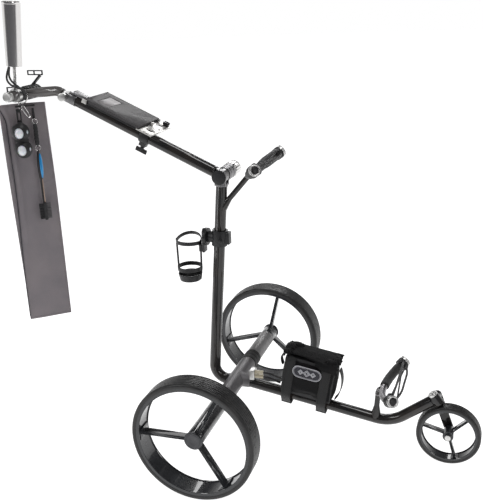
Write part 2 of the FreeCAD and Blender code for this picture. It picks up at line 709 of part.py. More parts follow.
def golf_balls():
    return Part.makeCompound([on_hook(Part.makeSphere(BALL_R, place)) for place in BALL_PLACES])


def ball_pouch():
    """Silicone band that grips two balls, open front and back, on a webbing strap."""
    middle = (BALL_PLACES[0] + BALL_PLACES[1]) * 0.5
    body = box((-23.5, -12, -46), (23.5, 12, 46))
    body = body.makeFillet(20, [e for e in body.Edges if abs(e.Vertexes[0].Y - e.Vertexes[-1].Y) > 20])
    body = turned(body, V(0, 0, 0), ACROSS, -2.5)
    body.translate(middle)
    strap = box((-18, -14, -48), (-6, -10, -11.7))
    strap = strap.cut(box((-14.5, -20, -40), (-9.5, 0, -20)))
    bridge = box((-20, -24, -50), (-6, -10, -44))
    pouch = fuse([body, strap, bridge])
    for place in BALL_PLACES:
        pouch = pouch.cut(Part.makeSphere(BALL_R + 0.05, place))
    return on_hook(pouch)


BRUSH_W, BRUSH_N = 24.0, -20.0


def brush_lanyard():
    strap = box((BRUSH_W - 3, BRUSH_N + 8, -38), (BRUSH_W + 3, BRUSH_N + 10, -11.7))
    hanger = box((BRUSH_W - 3, BRUSH_N - 1, -39), (BRUSH_W + 3, BRUSH_N + 10, -37))
    top_ring = ring(V(BRUSH_W, BRUSH_N, -45), V(0, 1, 0), 5.2, 1.1)
    reel = box((BRUSH_W - 5, BRUSH_N - 3, -106), (BRUSH_W + 5, BRUSH_N + 3, -52))
    low_ring = ring(V(BRUSH_W, BRUSH_N, -113), V(0, 1, 0), 5.6, 1.1)
    return on_hook(Part.makeCompound([fuse([strap, hanger]), top_ring, reel, low_ring]))


def brush():
    """Club brush: waisted grip, thin stem and a two-sided head."""
    grip = rod(V(BRUSH_W, BRUSH_N, -206), UP, 82, 6)
    grip = grip.fuse(rod(V(BRUSH_W, BRUSH_N, -124), UP, 4, 3))
    stem = rod(V(BRUSH_W, BRUSH_N, -262), UP, 57, 2.6)
    head = box((BRUSH_W - 4, BRUSH_N - 7, -306), (BRUSH_W + 4, BRUSH_N + 7, -258))
    bristles = box((BRUSH_W - 15, BRUSH_N - 6, -303), (BRUSH_W - 4, BRUSH_N + 6, -262))
    wires = box((BRUSH_W + 4, BRUSH_N - 6, -303), (BRUSH_W + 15, BRUSH_N + 6, -262))
    return on_hook(fuse([grip, stem, head, bristles, wires]))


# ---- bag cradles ----
def cradle_frame(pivot):
    """Middle of the cradle's tube, the direction it opens in, and the bend's centre."""
    angle = math.radians(CRADLE_TILT)
    opening = V(math.cos(angle), 0, math.sin(angle))
    middle = pivot + opening * CRADLE_OFFSET
    return middle, opening, middle + opening * CRADLE_R


def cradle_arc(pivot, low, high, radius):
    """Round bar along the cradle's arc, between two angles from its middle."""
    middle, opening, centre = cradle_frame(pivot)
    axis = ACROSS.cross(opening)
    face = Part.Face(Part.Wire(Part.Circle(middle, ACROSS, radius).toShape()))
    start = turned(face, centre, axis, low)
    return start.revolve(centre, axis, high - low)


def cradle_end(pivot, degrees):
    middle, opening, centre = cradle_frame(pivot)
    axis = ACROSS.cross(opening)
    turn = FreeCAD.Rotation(axis, degrees)
    place = centre + turn.multVec(middle - centre)
    outward = turn.multVec(ACROSS) * (1 if degrees > 0 else -1)
    return place, outward


def cradle_sign(pivot):
    """+1 if a positive turn about the cradle's arc axis moves its middle towards +Y."""
    place, outward = cradle_end(pivot, 10)
    return 1 if place.y > 0 else -1


def cradle_tube(pivot):
    """Bent tube, its end rings, and the clevis that turns on the strut's pin."""
    bar = cradle_arc(pivot, -CRADLE_HALF_ANGLE, CRADLE_HALF_ANGLE, CRADLE_TUBE_R)
    pieces = [bar]
    for degrees in (-CRADLE_HALF_ANGLE, CRADLE_HALF_ANGLE):
        place, outward = cradle_end(pivot, degrees)
        pieces.append(rod(place - outward * 1, outward, 12, 14).cut(rod(place + outward * 8, outward, 5, 9)))
    for low in (-CRADLE_EAR_FROM - 3.5, CRADLE_EAR_FROM):
        ear = rod(pivot + ACROSS * low, ACROSS, 3.5, 6.5)
        plate = box((0, low, -6.5), (CRADLE_OFFSET, low + 3.5, 6.5))
        plate = turned(plate, V(0, 0, 0), ACROSS, -CRADLE_TILT)
        plate.translate(pivot)
        pieces += [ear, plate]
    hole = rod(pivot - ACROSS * 20, ACROSS, 40, CRADLE_PIN_R + PIN_GAP)
    return fuse(pieces).cut(hole)


def cradle_foam(pivot, stretches):
    sign = cradle_sign(pivot)
    sleeves = []
    for stretch in stretches:
        low, high = sorted(sign * angle for angle in stretch)
        sleeve = cradle_arc(pivot, low, high, CRADLE_TUBE_R + 3.6)
        sleeves.append(sleeve.cut(cradle_arc(pivot, low - 1, high + 1, CRADLE_TUBE_R + 0.02)))
    return Part.makeCompound(sleeves)


def cradle_bungee(pivot):
    """Lobed cord holders inside the two end rings, with two crossed cords and two slack ones."""
    middle, opening, centre = cradle_frame(pivot)
    side = ACROSS.cross(opening)
    holders = []
    knots = []
    for sign in (-1, 1):
        place, outward = cradle_end(pivot, sign * cradle_sign(pivot) * CRADLE_HALF_ANGLE)
        inward = (centre - place).normalize()
        back = place - outward * 11.5
        holders.append(pipe(back, outward, 9.5, 12.5, CRADLE_TUBE_R + 0.1))
        for across in (-9, 9):
            holders.append(rod(back + inward * 10 + side * across, outward, 9.5, 5))
        knots.append(place - outward * 6 + inward * 12)
    near, far = knots
    bungee = fuse(holders).cut(cradle_tube(pivot))
    for slant, lift in ((8, 0), (-8, 5)):
        strand = between(near + side * slant + opening * lift, far - side * slant + opening * lift, 2)
        bungee = bungee.fuse(strand)
    for place in (6, -6):
        start = near + opening * 3 + side * place
        end = far + opening * 3 + side * place
        bow = opening * 14 + side * (place * 0.8)
        points = [start, start + (end - start) * 0.25 + bow, start + (end - start) * 0.72 + bow, end]
        runs = [between(first, last, 2.1) for first, last in zip(points, points[1:])]
        knees = [Part.makeSphere(2.1, corner) for corner in points[1:3]]
        bungee = bungee.fuse(fuse(runs + knees))
    return bungee


# ---- drink holder ----
def cage_clamp():
    """Clamp band on the mast with its lug and screw, and the round joint housing behind it."""
    mast_dir = (FOLD - MAST_FOOT).normalize()
    at = MAST_FOOT + mast_dir * ((CAGE_PIVOT.z - MAST_FOOT.z) / mast_dir.z)
    band = rod(at - mast_dir * 20, mast_dir, 40, 19.5)
    lug = box((at.x + 12, -9, CAGE_PIVOT.z - 15), (at.x + 27, 9, CAGE_PIVOT.z + 15))
    arm = rod(V(CAGE_PIVOT.x, 0, CAGE_PIVOT.z), FORWARD, 20, 14)
    bolt = rod(V(CAGE_PIVOT.x - 8, 0, CAGE_PIVOT.z), FORWARD, 14, 4)
    mast = rod(at - mast_dir * 60, mast_dir, 120, TUBE_R + 0.02)
    screw = rod(V(at.x + 8, -21.5, CAGE_PIVOT.z - 4), ACROSS, 6, 4.5)
    return fuse([band, lug, arm, bolt, screw]).cut(mast)


def cage_arm():
    """Toothed disc and the lever plate that turn on the clamp's bolt and carry the cage."""
    disc = rod(CAGE_PIVOT + FORWARD * -9, FORWARD, 8.6, 22)
    plate = box((CAGE_PIVOT.x - 14, -11, CAGE_PIVOT.z - 40), (CAGE_PIVOT.x - 9, 11, CAGE_PIVOT.z + 8))
    lever = rod(V(CAGE_PIVOT.x - 14, 0, CAGE_PIVOT.z + 10), FORWARD, 5, 11)
    bore = rod(CAGE_PIVOT + FORWARD * -20, FORWARD, 30, 4 + PIN_GAP)
    return fuse([disc, plate, lever]).cut(bore)


CAGE_LOW = 422.0
CAGE_TOP = 530.0


def drink_cage():
    """Cup floor, side posts, a low band, a flat front band and the raised hoop behind."""
    foot = V(CAGE_X, 0, CAGE_LOW)
    cup = Part.makeCone(27, 31, 18, foot, UP).cut(Part.makeCone(24.6, 28.6, 18, foot + UP * 2.5, UP))
    low_band = pipe(V(CAGE_X, 0, CAGE_LOW + 27), UP, 11, 32, 29.6)
    posts = []
    for side in (-1, 1):
        points = [V(CAGE_X + side * 27.5, 0, CAGE_LOW + 3), V(CAGE_X + side * 31.5, 0, CAGE_LOW + 30),
                  V(CAGE_X + side * CAGE_R, 0, CAGE_TOP)]
        post = fuse([between(points[0], points[1], 2.6), between(points[1], points[2], 2.6),
                     Part.makeSphere(2.6, points[1])])
        posts.append(post)
    front = pipe(V(CAGE_X, 12, CAGE_TOP - 11), UP, 10, 36.8, 34.4)
    front = front.common(box((CAGE_X - 60, -60, CAGE_TOP - 20), (CAGE_X + 60, 0, CAGE_TOP + 20)))
    hoop = pipe(V(CAGE_X, 0, CAGE_TOP - 10), UP, 10, CAGE_R + 1.2, CAGE_R - 1.2)
    hoop = hoop.common(box((CAGE_X - 60, 0, 400), (CAGE_X + 60, 60, 600)))
    hoop = turned(hoop, V(CAGE_X, 0, CAGE_TOP - 5), FORWARD, 24)
    pad = box((CAGE_X + 31, -9, CAGE_TOP - 28), (CAGE_PIVOT.x - 14, 9, CAGE_TOP - 10))
    return fuse([cup, low_band] + posts + [front, hoop, pad])


# ---- the nodes ----
def all_nodes():
    nodes = {
        "axle_housing": axle_housing(), "mast_tube": mast_tube(), "front_tube": front_tube(),
        "motor_tubes": motor_tubes(), "motor_collars": motor_collars(), "drive_motors": drive_motors(),
        "hinge_barrel": hinge_barrel(),
        "upper_strut": upper_strut(), "lower_strut": lower_strut(),
        "front_fork": front_fork(), "fork_bolts": fork_bolts(),
        "battery_bag": battery_bag(), "bag_flap": bag_flap(), "battery_pack": battery_pack(),
        "bag_straps": bag_straps(), "battery_plug": battery_plug(), "battery_lead": battery_lead(),
        "handle_shaft": handle_shaft(), "handle_knuckle": handle_knuckle(), "hinge_knob": hinge_knob(),
        "neck_bracket": neck_bracket(), "neck_knob": neck_knob(),
        "board_base": board_base(), "board_clamp": board_clamp(), "wing_screw": wing_screw(),
        "scorecard_lid": scorecard_lid(), "pencil_clip": pencil_clip(),
        "neck_tube": neck_tube(), "t_bar": t_bar(), "speed_dial": speed_dial(),
        "device_strap": device_strap(),
        "umbrella_stem": umbrella_stem(), "umbrella_tube": umbrella_tube(),
        "umbrella_cords": umbrella_cords(),
        "hang_ring": hang_ring(), "towel": towel(), "ball_pouch": ball_pouch(),
        "golf_balls": golf_balls(), "brush_lanyard": brush_lanyard(), "brush": brush(),
        "cage_clamp": cage_clamp(), "cage_arm": cage_arm(), "drink_cage": drink_cage(),
    }
    for name, pivot, foam in (("upper", UPPER_PIVOT, [(-38, -5), (5, 40)]), ("lower", LOWER_PIVOT, [(5, 40)])):
        nodes[name + "_cradle"] = cradle_tube(pivot)
        nodes[name + "_foam"] = cradle_foam(pivot, foam)
        nodes[name + "_bungee"] = cradle_bungee(pivot)
    for name, side, angle in (("right", -1, 61.5), ("left", 1, 76.5)):
        for piece, shape in rear_wheel(side, angle).items():
            nodes[name + "_" + piece] = shape
    for piece, shape in front_wheel().items():
        nodes["front_" + piece] = shape
    return nodes


os.makedirs("parts", exist_ok=True)
for node_name, node_shape in all_nodes().items():
    node_shape.translate(V(AXLE_X, 0, 0))
    node_shape.exportStep("parts/" + node_name + ".step")
for route in CORDS + LEADS:
    print("cord bend radii:", [round(radius, 1) for radius in loose_radii(route)])
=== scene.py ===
# %% [markdown]
# # An electric golf trolley, dressed in Blender
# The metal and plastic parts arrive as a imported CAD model, already at their real size and
# place. This lesson gives every surface its finish, models the soft goods that CAD only
# blocked in, and lights the whole thing like a studio product shot. The scene is in metres,
# +X is towards the front wheel and +Z is up. Shapes are written in millimetres.

# %% load the frame
import json
import math
import random

import bpy
from mathutils import Matrix, Vector, kdtree, noise

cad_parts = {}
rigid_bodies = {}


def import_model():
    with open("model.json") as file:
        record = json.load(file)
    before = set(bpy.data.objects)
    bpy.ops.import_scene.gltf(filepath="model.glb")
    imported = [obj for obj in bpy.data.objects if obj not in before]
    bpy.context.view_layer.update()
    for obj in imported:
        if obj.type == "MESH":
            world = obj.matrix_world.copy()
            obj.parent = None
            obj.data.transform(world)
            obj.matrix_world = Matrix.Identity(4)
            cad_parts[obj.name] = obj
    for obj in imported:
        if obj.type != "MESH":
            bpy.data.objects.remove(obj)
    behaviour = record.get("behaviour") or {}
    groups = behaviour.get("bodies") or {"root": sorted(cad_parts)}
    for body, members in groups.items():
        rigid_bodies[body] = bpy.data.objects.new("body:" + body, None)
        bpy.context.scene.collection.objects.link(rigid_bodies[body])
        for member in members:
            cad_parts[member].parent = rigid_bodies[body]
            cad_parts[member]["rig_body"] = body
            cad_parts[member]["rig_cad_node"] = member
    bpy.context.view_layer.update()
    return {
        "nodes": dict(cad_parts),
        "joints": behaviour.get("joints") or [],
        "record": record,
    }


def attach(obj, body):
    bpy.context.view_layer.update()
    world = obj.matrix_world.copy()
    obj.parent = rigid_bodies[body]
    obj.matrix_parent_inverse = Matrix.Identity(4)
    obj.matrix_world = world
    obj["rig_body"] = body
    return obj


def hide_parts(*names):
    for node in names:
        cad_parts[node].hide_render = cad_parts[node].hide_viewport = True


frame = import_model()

JOINTS = {joint["name"]: joint for joint in frame["joints"]}
MM = 0.001
ACROSS = Vector((0, 1, 0))
UP = Vector((0, 0, 1))


def pivot(joint):
    """Where a hinge turns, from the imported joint."""
    return Vector(JOINTS[joint]["pos_m"])


AXLE = Vector((pivot("right_wheel_spin").x, 0, pivot("right_wheel_spin").z))
FOLD = pivot("handle_fold")
BAR = pivot("speed_dial_turn")
HANG = pivot("towel_swing")

# %% [markdown]
# ## The camera
# A long-ish lens from the right rear quarter, a little above the handle, shows both rear
# wheels and the whole handle at once. The camera comes first because the cords are checked
# against what it sees.

# %% camera
CAMERA_TURN = math.radians(19.772)
CAMERA_RISE = math.radians(19.03)
CAMERA_ROLL = math.radians(-2.272)
CAMERA_REACH = 1.918984
LOOK_AT = AXLE + Vector((0.026244, 0, 0.361662))
SENSOR = 36.0
FOCAL = 55.775592

back = Vector((math.sin(CAMERA_TURN) * math.cos(CAMERA_RISE),
               -math.cos(CAMERA_TURN) * math.cos(CAMERA_RISE), math.sin(CAMERA_RISE)))
level = Vector((math.cos(CAMERA_TURN), math.sin(CAMERA_TURN), 0))
upright = back.cross(level)
sideways = level * math.cos(CAMERA_ROLL) + upright * math.sin(CAMERA_ROLL)
upwards = upright * math.cos(CAMERA_ROLL) - level * math.sin(CAMERA_ROLL)

lens = bpy.data.cameras.new("studio_lens")
lens.sensor_width = SENSOR
lens.lens = FOCAL
lens.clip_end = 50
camera = bpy.data.objects.new("studio_camera", lens)
bpy.context.scene.collection.objects.link(camera)
camera.matrix_world = Matrix.Translation(LOOK_AT + back * CAMERA_REACH) @ Matrix(
    (sideways, upwards, back)).transposed().to_4x4()
bpy.context.scene.camera = camera
print("camera at", [round(v, 3) for v in camera.location], "lens", round(FOCAL, 2), "mm")

# %% [markdown]
# ## A small kit of helpers
# Most pieces are modelled with the same operators that the menus offer. These helpers keep
# the calls short: they clear the selection, add a primitive, pick faces or edges by their
# place, and put a finished piece's transform into its mesh.

# %% selection and edit-mode helpers
def only(obj):
    """Makes obj the one selected and active object."""
    if bpy.context.object and bpy.context.object.mode != "OBJECT":
        bpy.ops.object.mode_set(mode="OBJECT")
    bpy.ops.object.select_all(action="DESELECT")
    bpy.context.view_layer.objects.active = obj
    obj.select_set(True)
    return obj


def nothing_selected():
    if bpy.context.object and bpy.context.object.mode != "OBJECT":
        bpy.ops.object.mode_set(mode="OBJECT")
    bpy.ops.object.select_all(action="DESELECT")


def edit(obj, *steps):
    """Runs each step in edit mode on all of obj's mesh."""
    only(obj)
    bpy.ops.object.mode_set(mode="EDIT")
    bpy.ops.mesh.select_all(action="SELECT")
    for step in steps:
        step()
    bpy.ops.object.mode_set(mode="OBJECT")
    return obj


def pick(obj, test, kind="FACE"):
    """Selects, in object mode, the faces or vertices whose centre passes the test."""
    bpy.ops.object.mode_set(mode="OBJECT")
    mesh = obj.data
    for group in (mesh.vertices, mesh.edges, mesh.polygons):
        group.foreach_set("select", [False] * len(group))
    if kind == "FACE":
        for face in mesh.polygons:
            face.select = test(face)
    else:
        for vertex in mesh.vertices:
            vertex.select = test(vertex)
    bpy.ops.object.mode_set(mode="EDIT")
    bpy.ops.mesh.select_mode(type="FACE" if kind == "FACE" else "VERT")


def modify(obj, kind, **settings):
    """Adds one modifier, applies it, and leaves a plain mesh."""
    only(obj)
    modifier = obj.modifiers.new(kind.lower(), kind)
    for name, value in settings.items():
        setattr(modifier, name, value)
    bpy.ops.object.modifier_apply(modifier=modifier.name)
    return obj


def tidy_normals(obj, merge=0.002):
    return edit(obj, lambda: bpy.ops.mesh.remove_doubles(threshold=merge),
                lambda: bpy.ops.mesh.normals_make_consistent(inside=False))


def settle(obj):
    """Puts the object's place, turn and scale into its mesh."""
    only(obj)
    bpy.ops.object.transform_apply(location=True, rotation=True, scale=True)
    return obj


def moved(obj, matrix):
    """Moves the mesh itself; a mirrored frame turns its faces back outwards."""
    obj.data.transform(matrix)
    if matrix.determinant() < 0:
        obj.data.flip_normals()
    obj.data.update()
    return obj


def joined(objects):
    """Joins several meshes into the first."""
    nothing_selected()
    for obj in objects:
        obj.select_set(True)
    bpy.context.view_layer.objects.active = objects[0]
    if len(objects) > 1:
        bpy.ops.object.join()
    return objects[0]


def copied(obj):
    twin = obj.copy()
    twin.data = obj.data.copy()
    bpy.context.scene.collection.objects.link(twin)
    return twin


def smooth(obj, angle=35):
    only(obj)
    bpy.ops.object.shade_smooth_by_angle(angle=math.radians(angle))
    return obj


# %% primitives
def rod(centre, axis, length, radius, sides=32, end_radius=None):
    """A round bar or cone with its middle at centre."""
    nothing_selected()
    if end_radius is None:
        bpy.ops.mesh.primitive_cylinder_add(vertices=sides, radius=radius, depth=length)
    else:
        bpy.ops.mesh.primitive_cone_add(vertices=sides, radius1=radius, radius2=end_radius, depth=length)
    obj = bpy.context.object
    turn = UP.rotation_difference(Vector(axis).normalized()).to_matrix().to_4x4()
    return moved(settle(obj), Matrix.Translation(Vector(centre)) @ turn)


def block(low, high):
    """A box between two corners."""
    low, high = Vector(low), Vector(high)
    nothing_selected()
    bpy.ops.mesh.primitive_cube_add(size=1, location=(low + high) / 2)
    obj = bpy.context.object
    obj.scale = high - low
    return settle(obj)


def ball(centre, radius, level=3):
    nothing_selected()
    bpy.ops.mesh.primitive_ico_sphere_add(subdivisions=level, radius=radius, location=Vector(centre))
    return settle(bpy.context.object)


def ring(centre, axis, radius, wire, around=40, section=12):
    nothing_selected()
    bpy.ops.mesh.primitive_torus_add(major_radius=radius, minor_radius=wire,
                                     major_segments=around, minor_segments=section)
    turn = UP.rotation_difference(Vector(axis).normalized()).to_matrix().to_4x4()
    return moved(settle(bpy.context.object), Matrix.Translation(Vector(centre)) @ turn)


def bevelled(obj, width, segments=2, angle=30):
    return modify(obj, "BEVEL", width=width, segments=segments, limit_method="ANGLE",
                  angle_limit=math.radians(angle))


def turned_profile(points, centre, axis, steps=96):
    """Spins an outline of (distance along the axis, radius) pairs round the axis, in millimetres."""
    mesh = bpy.data.meshes.new("profile")
    edges = [(index, (index + 1) % len(points)) for index in range(len(points))]
    mesh.from_pydata([(radius, 0, along) for along, radius in points], edges, [])
    obj = bpy.data.objects.new("profile", mesh)
    bpy.context.scene.collection.objects.link(obj)
    edit(obj, lambda: bpy.ops.mesh.spin(steps=steps, angle=math.tau, center=(0, 0, 0), axis=(0, 0, 1)))
    tidy_normals(obj)
    turn = UP.rotation_difference(Vector(axis).normalized()).to_matrix().to_4x4()
    return moved(obj, Matrix.Translation(Vector(centre)) @ turn)


def wire_through(points, radius, sides=8, closed=False):
    """A round wire that passes smoothly near the points, as a mesh."""
    curve = bpy.data.curves.new("wire", "CURVE")
    curve.dimensions = "3D"
    curve.bevel_depth = radius
    curve.bevel_resolution = max(0, sides // 4 - 1)
    curve.use_fill_caps = True
    spline = curve.splines.new("NURBS")
    spline.points.add(len(points) - 1)
    for point, place in zip(spline.points, points):
        point.co = (*place, 1)
    spline.order_u = 3
    spline.use_endpoint_u = not closed
    spline.use_cyclic_u = closed
    spline.resolution_u = 8
    obj = bpy.data.objects.new("wire", curve)
    bpy.context.scene.collection.objects.link(obj)
    only(obj)
    bpy.ops.object.convert(target="MESH")
    return bpy.context.object


print("helpers ready")

# %% [markdown]
# ## Shader maths as plain expressions
# A node tree is easier to read as arithmetic. `Wire` wraps one socket, and adding or
# multiplying wires adds the Math nodes. `Finish` makes the material and has one method,
# `node`, for every other kind of node.

# %% the Wire and Finish classes
class Wire:
    def __init__(self, finish, socket):
        self.finish = finish
        self.socket = socket

    def maths(self, operation, *others):
        return self.finish.node("ShaderNodeMath", {"operation": operation}, **{
            str(index): value for index, value in enumerate((self,) + others)})

    def __add__(self, other):
        return self.maths("ADD", other)

    def __sub__(self, other):
        return self.maths("SUBTRACT", other)

    def __rsub__(self, other):
        return (self * -1).maths("ADD", other)

    def __mul__(self, other):
        return self.maths("MULTIPLY", other)

    def __abs__(self):
        return self.maths("ABSOLUTE")

    __radd__ = __add__
    __rmul__ = __mul__

    def clamped(self):
        return self.maths("MAXIMUM", 0.0).maths("MINIMUM", 1.0)

    def sine(self):
        return self.maths("SINE")


class Finish:
    """One procedural material, built as expressions on wires."""

    def __init__(self, name, roughness=0.5, metallic=0.0, **constants):
        self.material = bpy.data.materials.new(name)
        self.material.use_nodes = True
        self.tree = self.material.node_tree
        self.shader = self.tree.nodes["Principled BSDF"]
        self.set("Roughness", roughness)
        self.set("Metallic", metallic)
        for socket, value in constants.items():
            self.set(socket.replace("_", " "), value)

    def set(self, socket, value):
        self.join(value, self.shader.inputs[socket])

    def join(self, value, socket):
        if isinstance(value, Wire):
            self.tree.links.new(value.socket, socket)
        elif socket.type == "RGBA" and len(value) == 3:
            socket.default_value = (*value, 1)
        else:
            socket.default_value = value

    def node(self, kind, settings=None, out=0, **values):
        made = self.tree.nodes.new(kind)
        for name, value in (settings or {}).items():
            if name == "stops":
                for stop, (place, colour) in zip(made.color_ramp.elements, value):
                    stop.position, stop.color = place, (*colour, 1)
            else:
                setattr(made, name, value)
        for name, value in values.items():
            key = int(name) if name.isdigit() else name.replace("_", " ")
            self.join(value, made.inputs[key])
        return Wire(self, made.outputs[out])

    def place(self):
        """Object coordinates, the same as the row's frame."""
        return self.node("ShaderNodeTexCoord", out="Object")

    def parts(self, vector):
        """x, y and z wires of a vector wire."""
        split = self.node("ShaderNodeSeparateXYZ", Vector=vector).socket.node
        return [Wire(self, split.outputs[name]) for name in "XYZ"]

    def noise(self, scale, detail=3.0, vector=None, roughness=0.5):
        return self.node("ShaderNodeTexNoise", Vector=vector or self.place(), Scale=scale,
                         Detail=detail, Roughness=roughness)

    def mix(self, factor, low, high):
        return self.node("ShaderNodeMix", {"data_type": "RGBA"}, out=2, **{"0": factor, "6": low, "7": high})

    def bump(self, height, distance, strength=1.0):
        return self.node("ShaderNodeBump", Height=height, Distance=distance, Strength=strength)


print("shader classes ready")

# %% [markdown]
# ## Finishes for the frame
# The tubes are carbon fibre under a thick clear coat. The twill shows as a faint chequer of
# dark squares, with a brown cast where the resin is thicker, and the coat gives the long
# bright streaks. The castings are satin powder coat, which is rough, speckled and greyer.

# %% carbon, powder coat and rim finishes
def carbon_finish():
    finish = Finish("carbon_twill", Coat_Weight=0.8, Coat_Roughness=0.05, Specular_IOR_Level=0.12)
    x, y, z = finish.parts(finish.place())
    cell = math.pi / 0.0026
    twill = ((x + y) * cell).sine() * ((z - y + x * 0.35) * cell).sine()
    weave = (twill * 2.5 + 0.5).clamped()
    cast = (finish.noise(26, 4) * 3.2 - 1.25).clamped()
    dark = finish.mix(cast, (0.006, 0.0065, 0.0075), (0.022, 0.017, 0.014))
    finish.set("Base Color", finish.mix(weave * 0.3, dark, (0.034, 0.031, 0.03)))
    finish.set("Roughness", 0.3 + weave * 0.16 + finish.noise(300) * 0.05)
    finish.set("Normal", finish.bump(finish.noise(120, 2), 0.0004, 0.12))
    return finish.material


def cast_grey_finish(name="cast_grey", colour=(0.085, 0.08, 0.083), worn=(0.15, 0.145, 0.15)):
    finish = Finish(name, metallic=0.35, Coat_Weight=0.15, Coat_Roughness=0.35)
    speckle = finish.noise(900, 2)
    cloud = finish.noise(14, 5)
    finish.set("Base Color", finish.mix((cloud * 1.6 - 0.35 + speckle * 0.35).clamped(), colour, worn))
    finish.set("Roughness", 0.36 + speckle * 0.16)
    finish.set("Normal", finish.bump(speckle, 0.0003, 0.35))
    return finish.material


def rim_finish(name="rim_gloss", colour=(0.014, 0.015, 0.017), light=(0.034, 0.036, 0.04)):
    finish = Finish(name, Coat_Weight=0.8, Coat_Roughness=0.06, Specular_IOR_Level=0.15)
    flow = finish.noise(18, 4)
    fine = finish.noise(260, 3)
    finish.set("Base Color", finish.mix((flow * 1.5 - 0.25).clamped(), colour, light))
    finish.set("Roughness", 0.22 + fine * 0.14)
    finish.set("Normal", finish.bump(fine, 0.0003, 0.05))
    return finish.material


# %% [markdown]
# ## Rubber and plastic
# Tyre rubber is never one black: the tread is dulled by dust and the shoulders keep the
# mould's shine. Moulded plastic has a fine spark-eroded grain. Silicone is softer looking,
# with a broad highlight. Foam is all tiny open cells.

# %% rubber, plastic, silicone and foam finishes
def tyre_finish():
    finish = Finish("tyre_rubber", Coat_Weight=0.2, Coat_Roughness=0.25, Specular_IOR_Level=0.3)
    grain = finish.noise(420, 3)
    dust = (finish.noise(38, 5) * 2.2 - 0.9).clamped()
    finish.set("Base Color", finish.mix(dust * 0.6, (0.014, 0.014, 0.0145), (0.05, 0.047, 0.045)))
    finish.set("Roughness", 0.38 + grain * 0.14 + dust * 0.1)
    finish.set("Normal", finish.bump(grain, 0.0003, 0.4))
    return finish.material


def collar_finish():
    finish = Finish("collar_rubber")
    x, y, z = finish.parts(finish.place())
    rings = (y * (math.tau / 0.006)).sine()
    grain = finish.noise(700, 2)
    finish.set("Base Color", finish.mix(grain, (0.012, 0.012, 0.012), (0.022, 0.022, 0.022)))
    finish.set("Roughness", 0.58 + grain * 0.2)
    finish.set("Normal", finish.bump(rings * 0.25 + grain * 0.6, 0.0004, 0.5))
    return finish.material


def plastic_finish(name="moulded_black", colour=(0.011, 0.011, 0.012), light=(0.024, 0.024, 0.026),
                   rough=0.36):
    finish = Finish(name, Coat_Weight=0.1, Coat_Roughness=0.25, Specular_IOR_Level=0.35)
    grain = finish.node("ShaderNodeTexVoronoi", Vector=finish.place(), Scale=1400.0)
    wear = (finish.noise(60, 4) * 2 - 0.8).clamped()
    finish.set("Base Color", finish.mix(wear, colour, light))
    finish.set("Roughness", rough + grain * 0.18 + wear * 0.05)
    finish.set("Normal", finish.bump(grain, 0.00025, 0.3))
    return finish.material


def silicone_finish():
    finish = Finish("soft_silicone", Sheen_Weight=0.05, Specular_IOR_Level=0.35)
    bloom = (finish.noise(90, 4) * 2 - 0.7).clamped()
    finish.set("Base Color", finish.mix(bloom, (0.009, 0.009, 0.0095), (0.019, 0.019, 0.02)))
    finish.set("Roughness", 0.42 + bloom * 0.14)
    finish.set("Normal", finish.bump(finish.noise(500, 2), 0.0002, 0.25))
    return finish.material


def foam_finish():
    finish = Finish("grip_foam", Sheen_Weight=0.25, Sheen_Roughness=0.6)
    cells = finish.node("ShaderNodeTexVoronoi", Vector=finish.place(), Scale=520.0)
    pale, dark = (0.024, 0.023, 0.022), (0.008, 0.008, 0.008)
    finish.set("Base Color", finish.mix((cells * 1.4).clamped(), pale, dark))
    finish.set("Roughness", 0.72 + cells * 0.2)
    finish.set("Normal", finish.bump(cells, 0.0006, 0.7))
    return finish.material


# %% [markdown]
# ## Bright metals
# Polished steel takes its whole look from what it reflects, so it needs only faint drawing
# lines. Satin aluminium scatters the reflection along its turning marks. Anodised parts
# keep a dark tint under the shine.

# %% metal finishes
def steel_finish():
    finish = Finish("polished_steel", metallic=1.0)
    x, y, z = finish.parts(finish.place())
    stretched = finish.node("ShaderNodeCombineXYZ", X=x * 900, Y=y * 900, Z=z * 14)
    drawn = finish.noise(1.0, 3, vector=stretched)
    finish.set("Base Color", finish.mix(drawn, (0.62, 0.61, 0.6), (0.78, 0.77, 0.76)))
    finish.set("Roughness", 0.09 + drawn * 0.08)
    finish.set("Normal", finish.bump(drawn, 0.0002, 0.05))
    return finish.material


def satin_metal_finish(name="satin_aluminium", colour=(0.5, 0.5, 0.49), light=(0.72, 0.715, 0.7), rough=0.24):
    finish = Finish(name, metallic=1.0)
    fine = finish.noise(1500, 3)
    smear = finish.noise(45, 4)
    finish.set("Base Color", finish.mix((smear * 1.4 - 0.2).clamped(), colour, light))
    finish.set("Roughness", rough + fine * 0.12 + smear * 0.08)
    finish.set("Normal", finish.bump(fine, 0.0002, 0.15))
    return finish.material


def gun_metal_finish():
    return satin_metal_finish("gun_metal", (0.15, 0.15, 0.155), (0.27, 0.265, 0.27), 0.3)


# %% [markdown]
# ## Cloth
# The towel is a waffle weave: small square cells about 4 mm across with raised walls. The
# battery bag is heavy nylon with a fine plain weave, and its straps are ribbed webbing. The
# cords wear a braided jacket. Each pattern follows the piece's own UV map where it has one,
# so that it turns with the cloth.

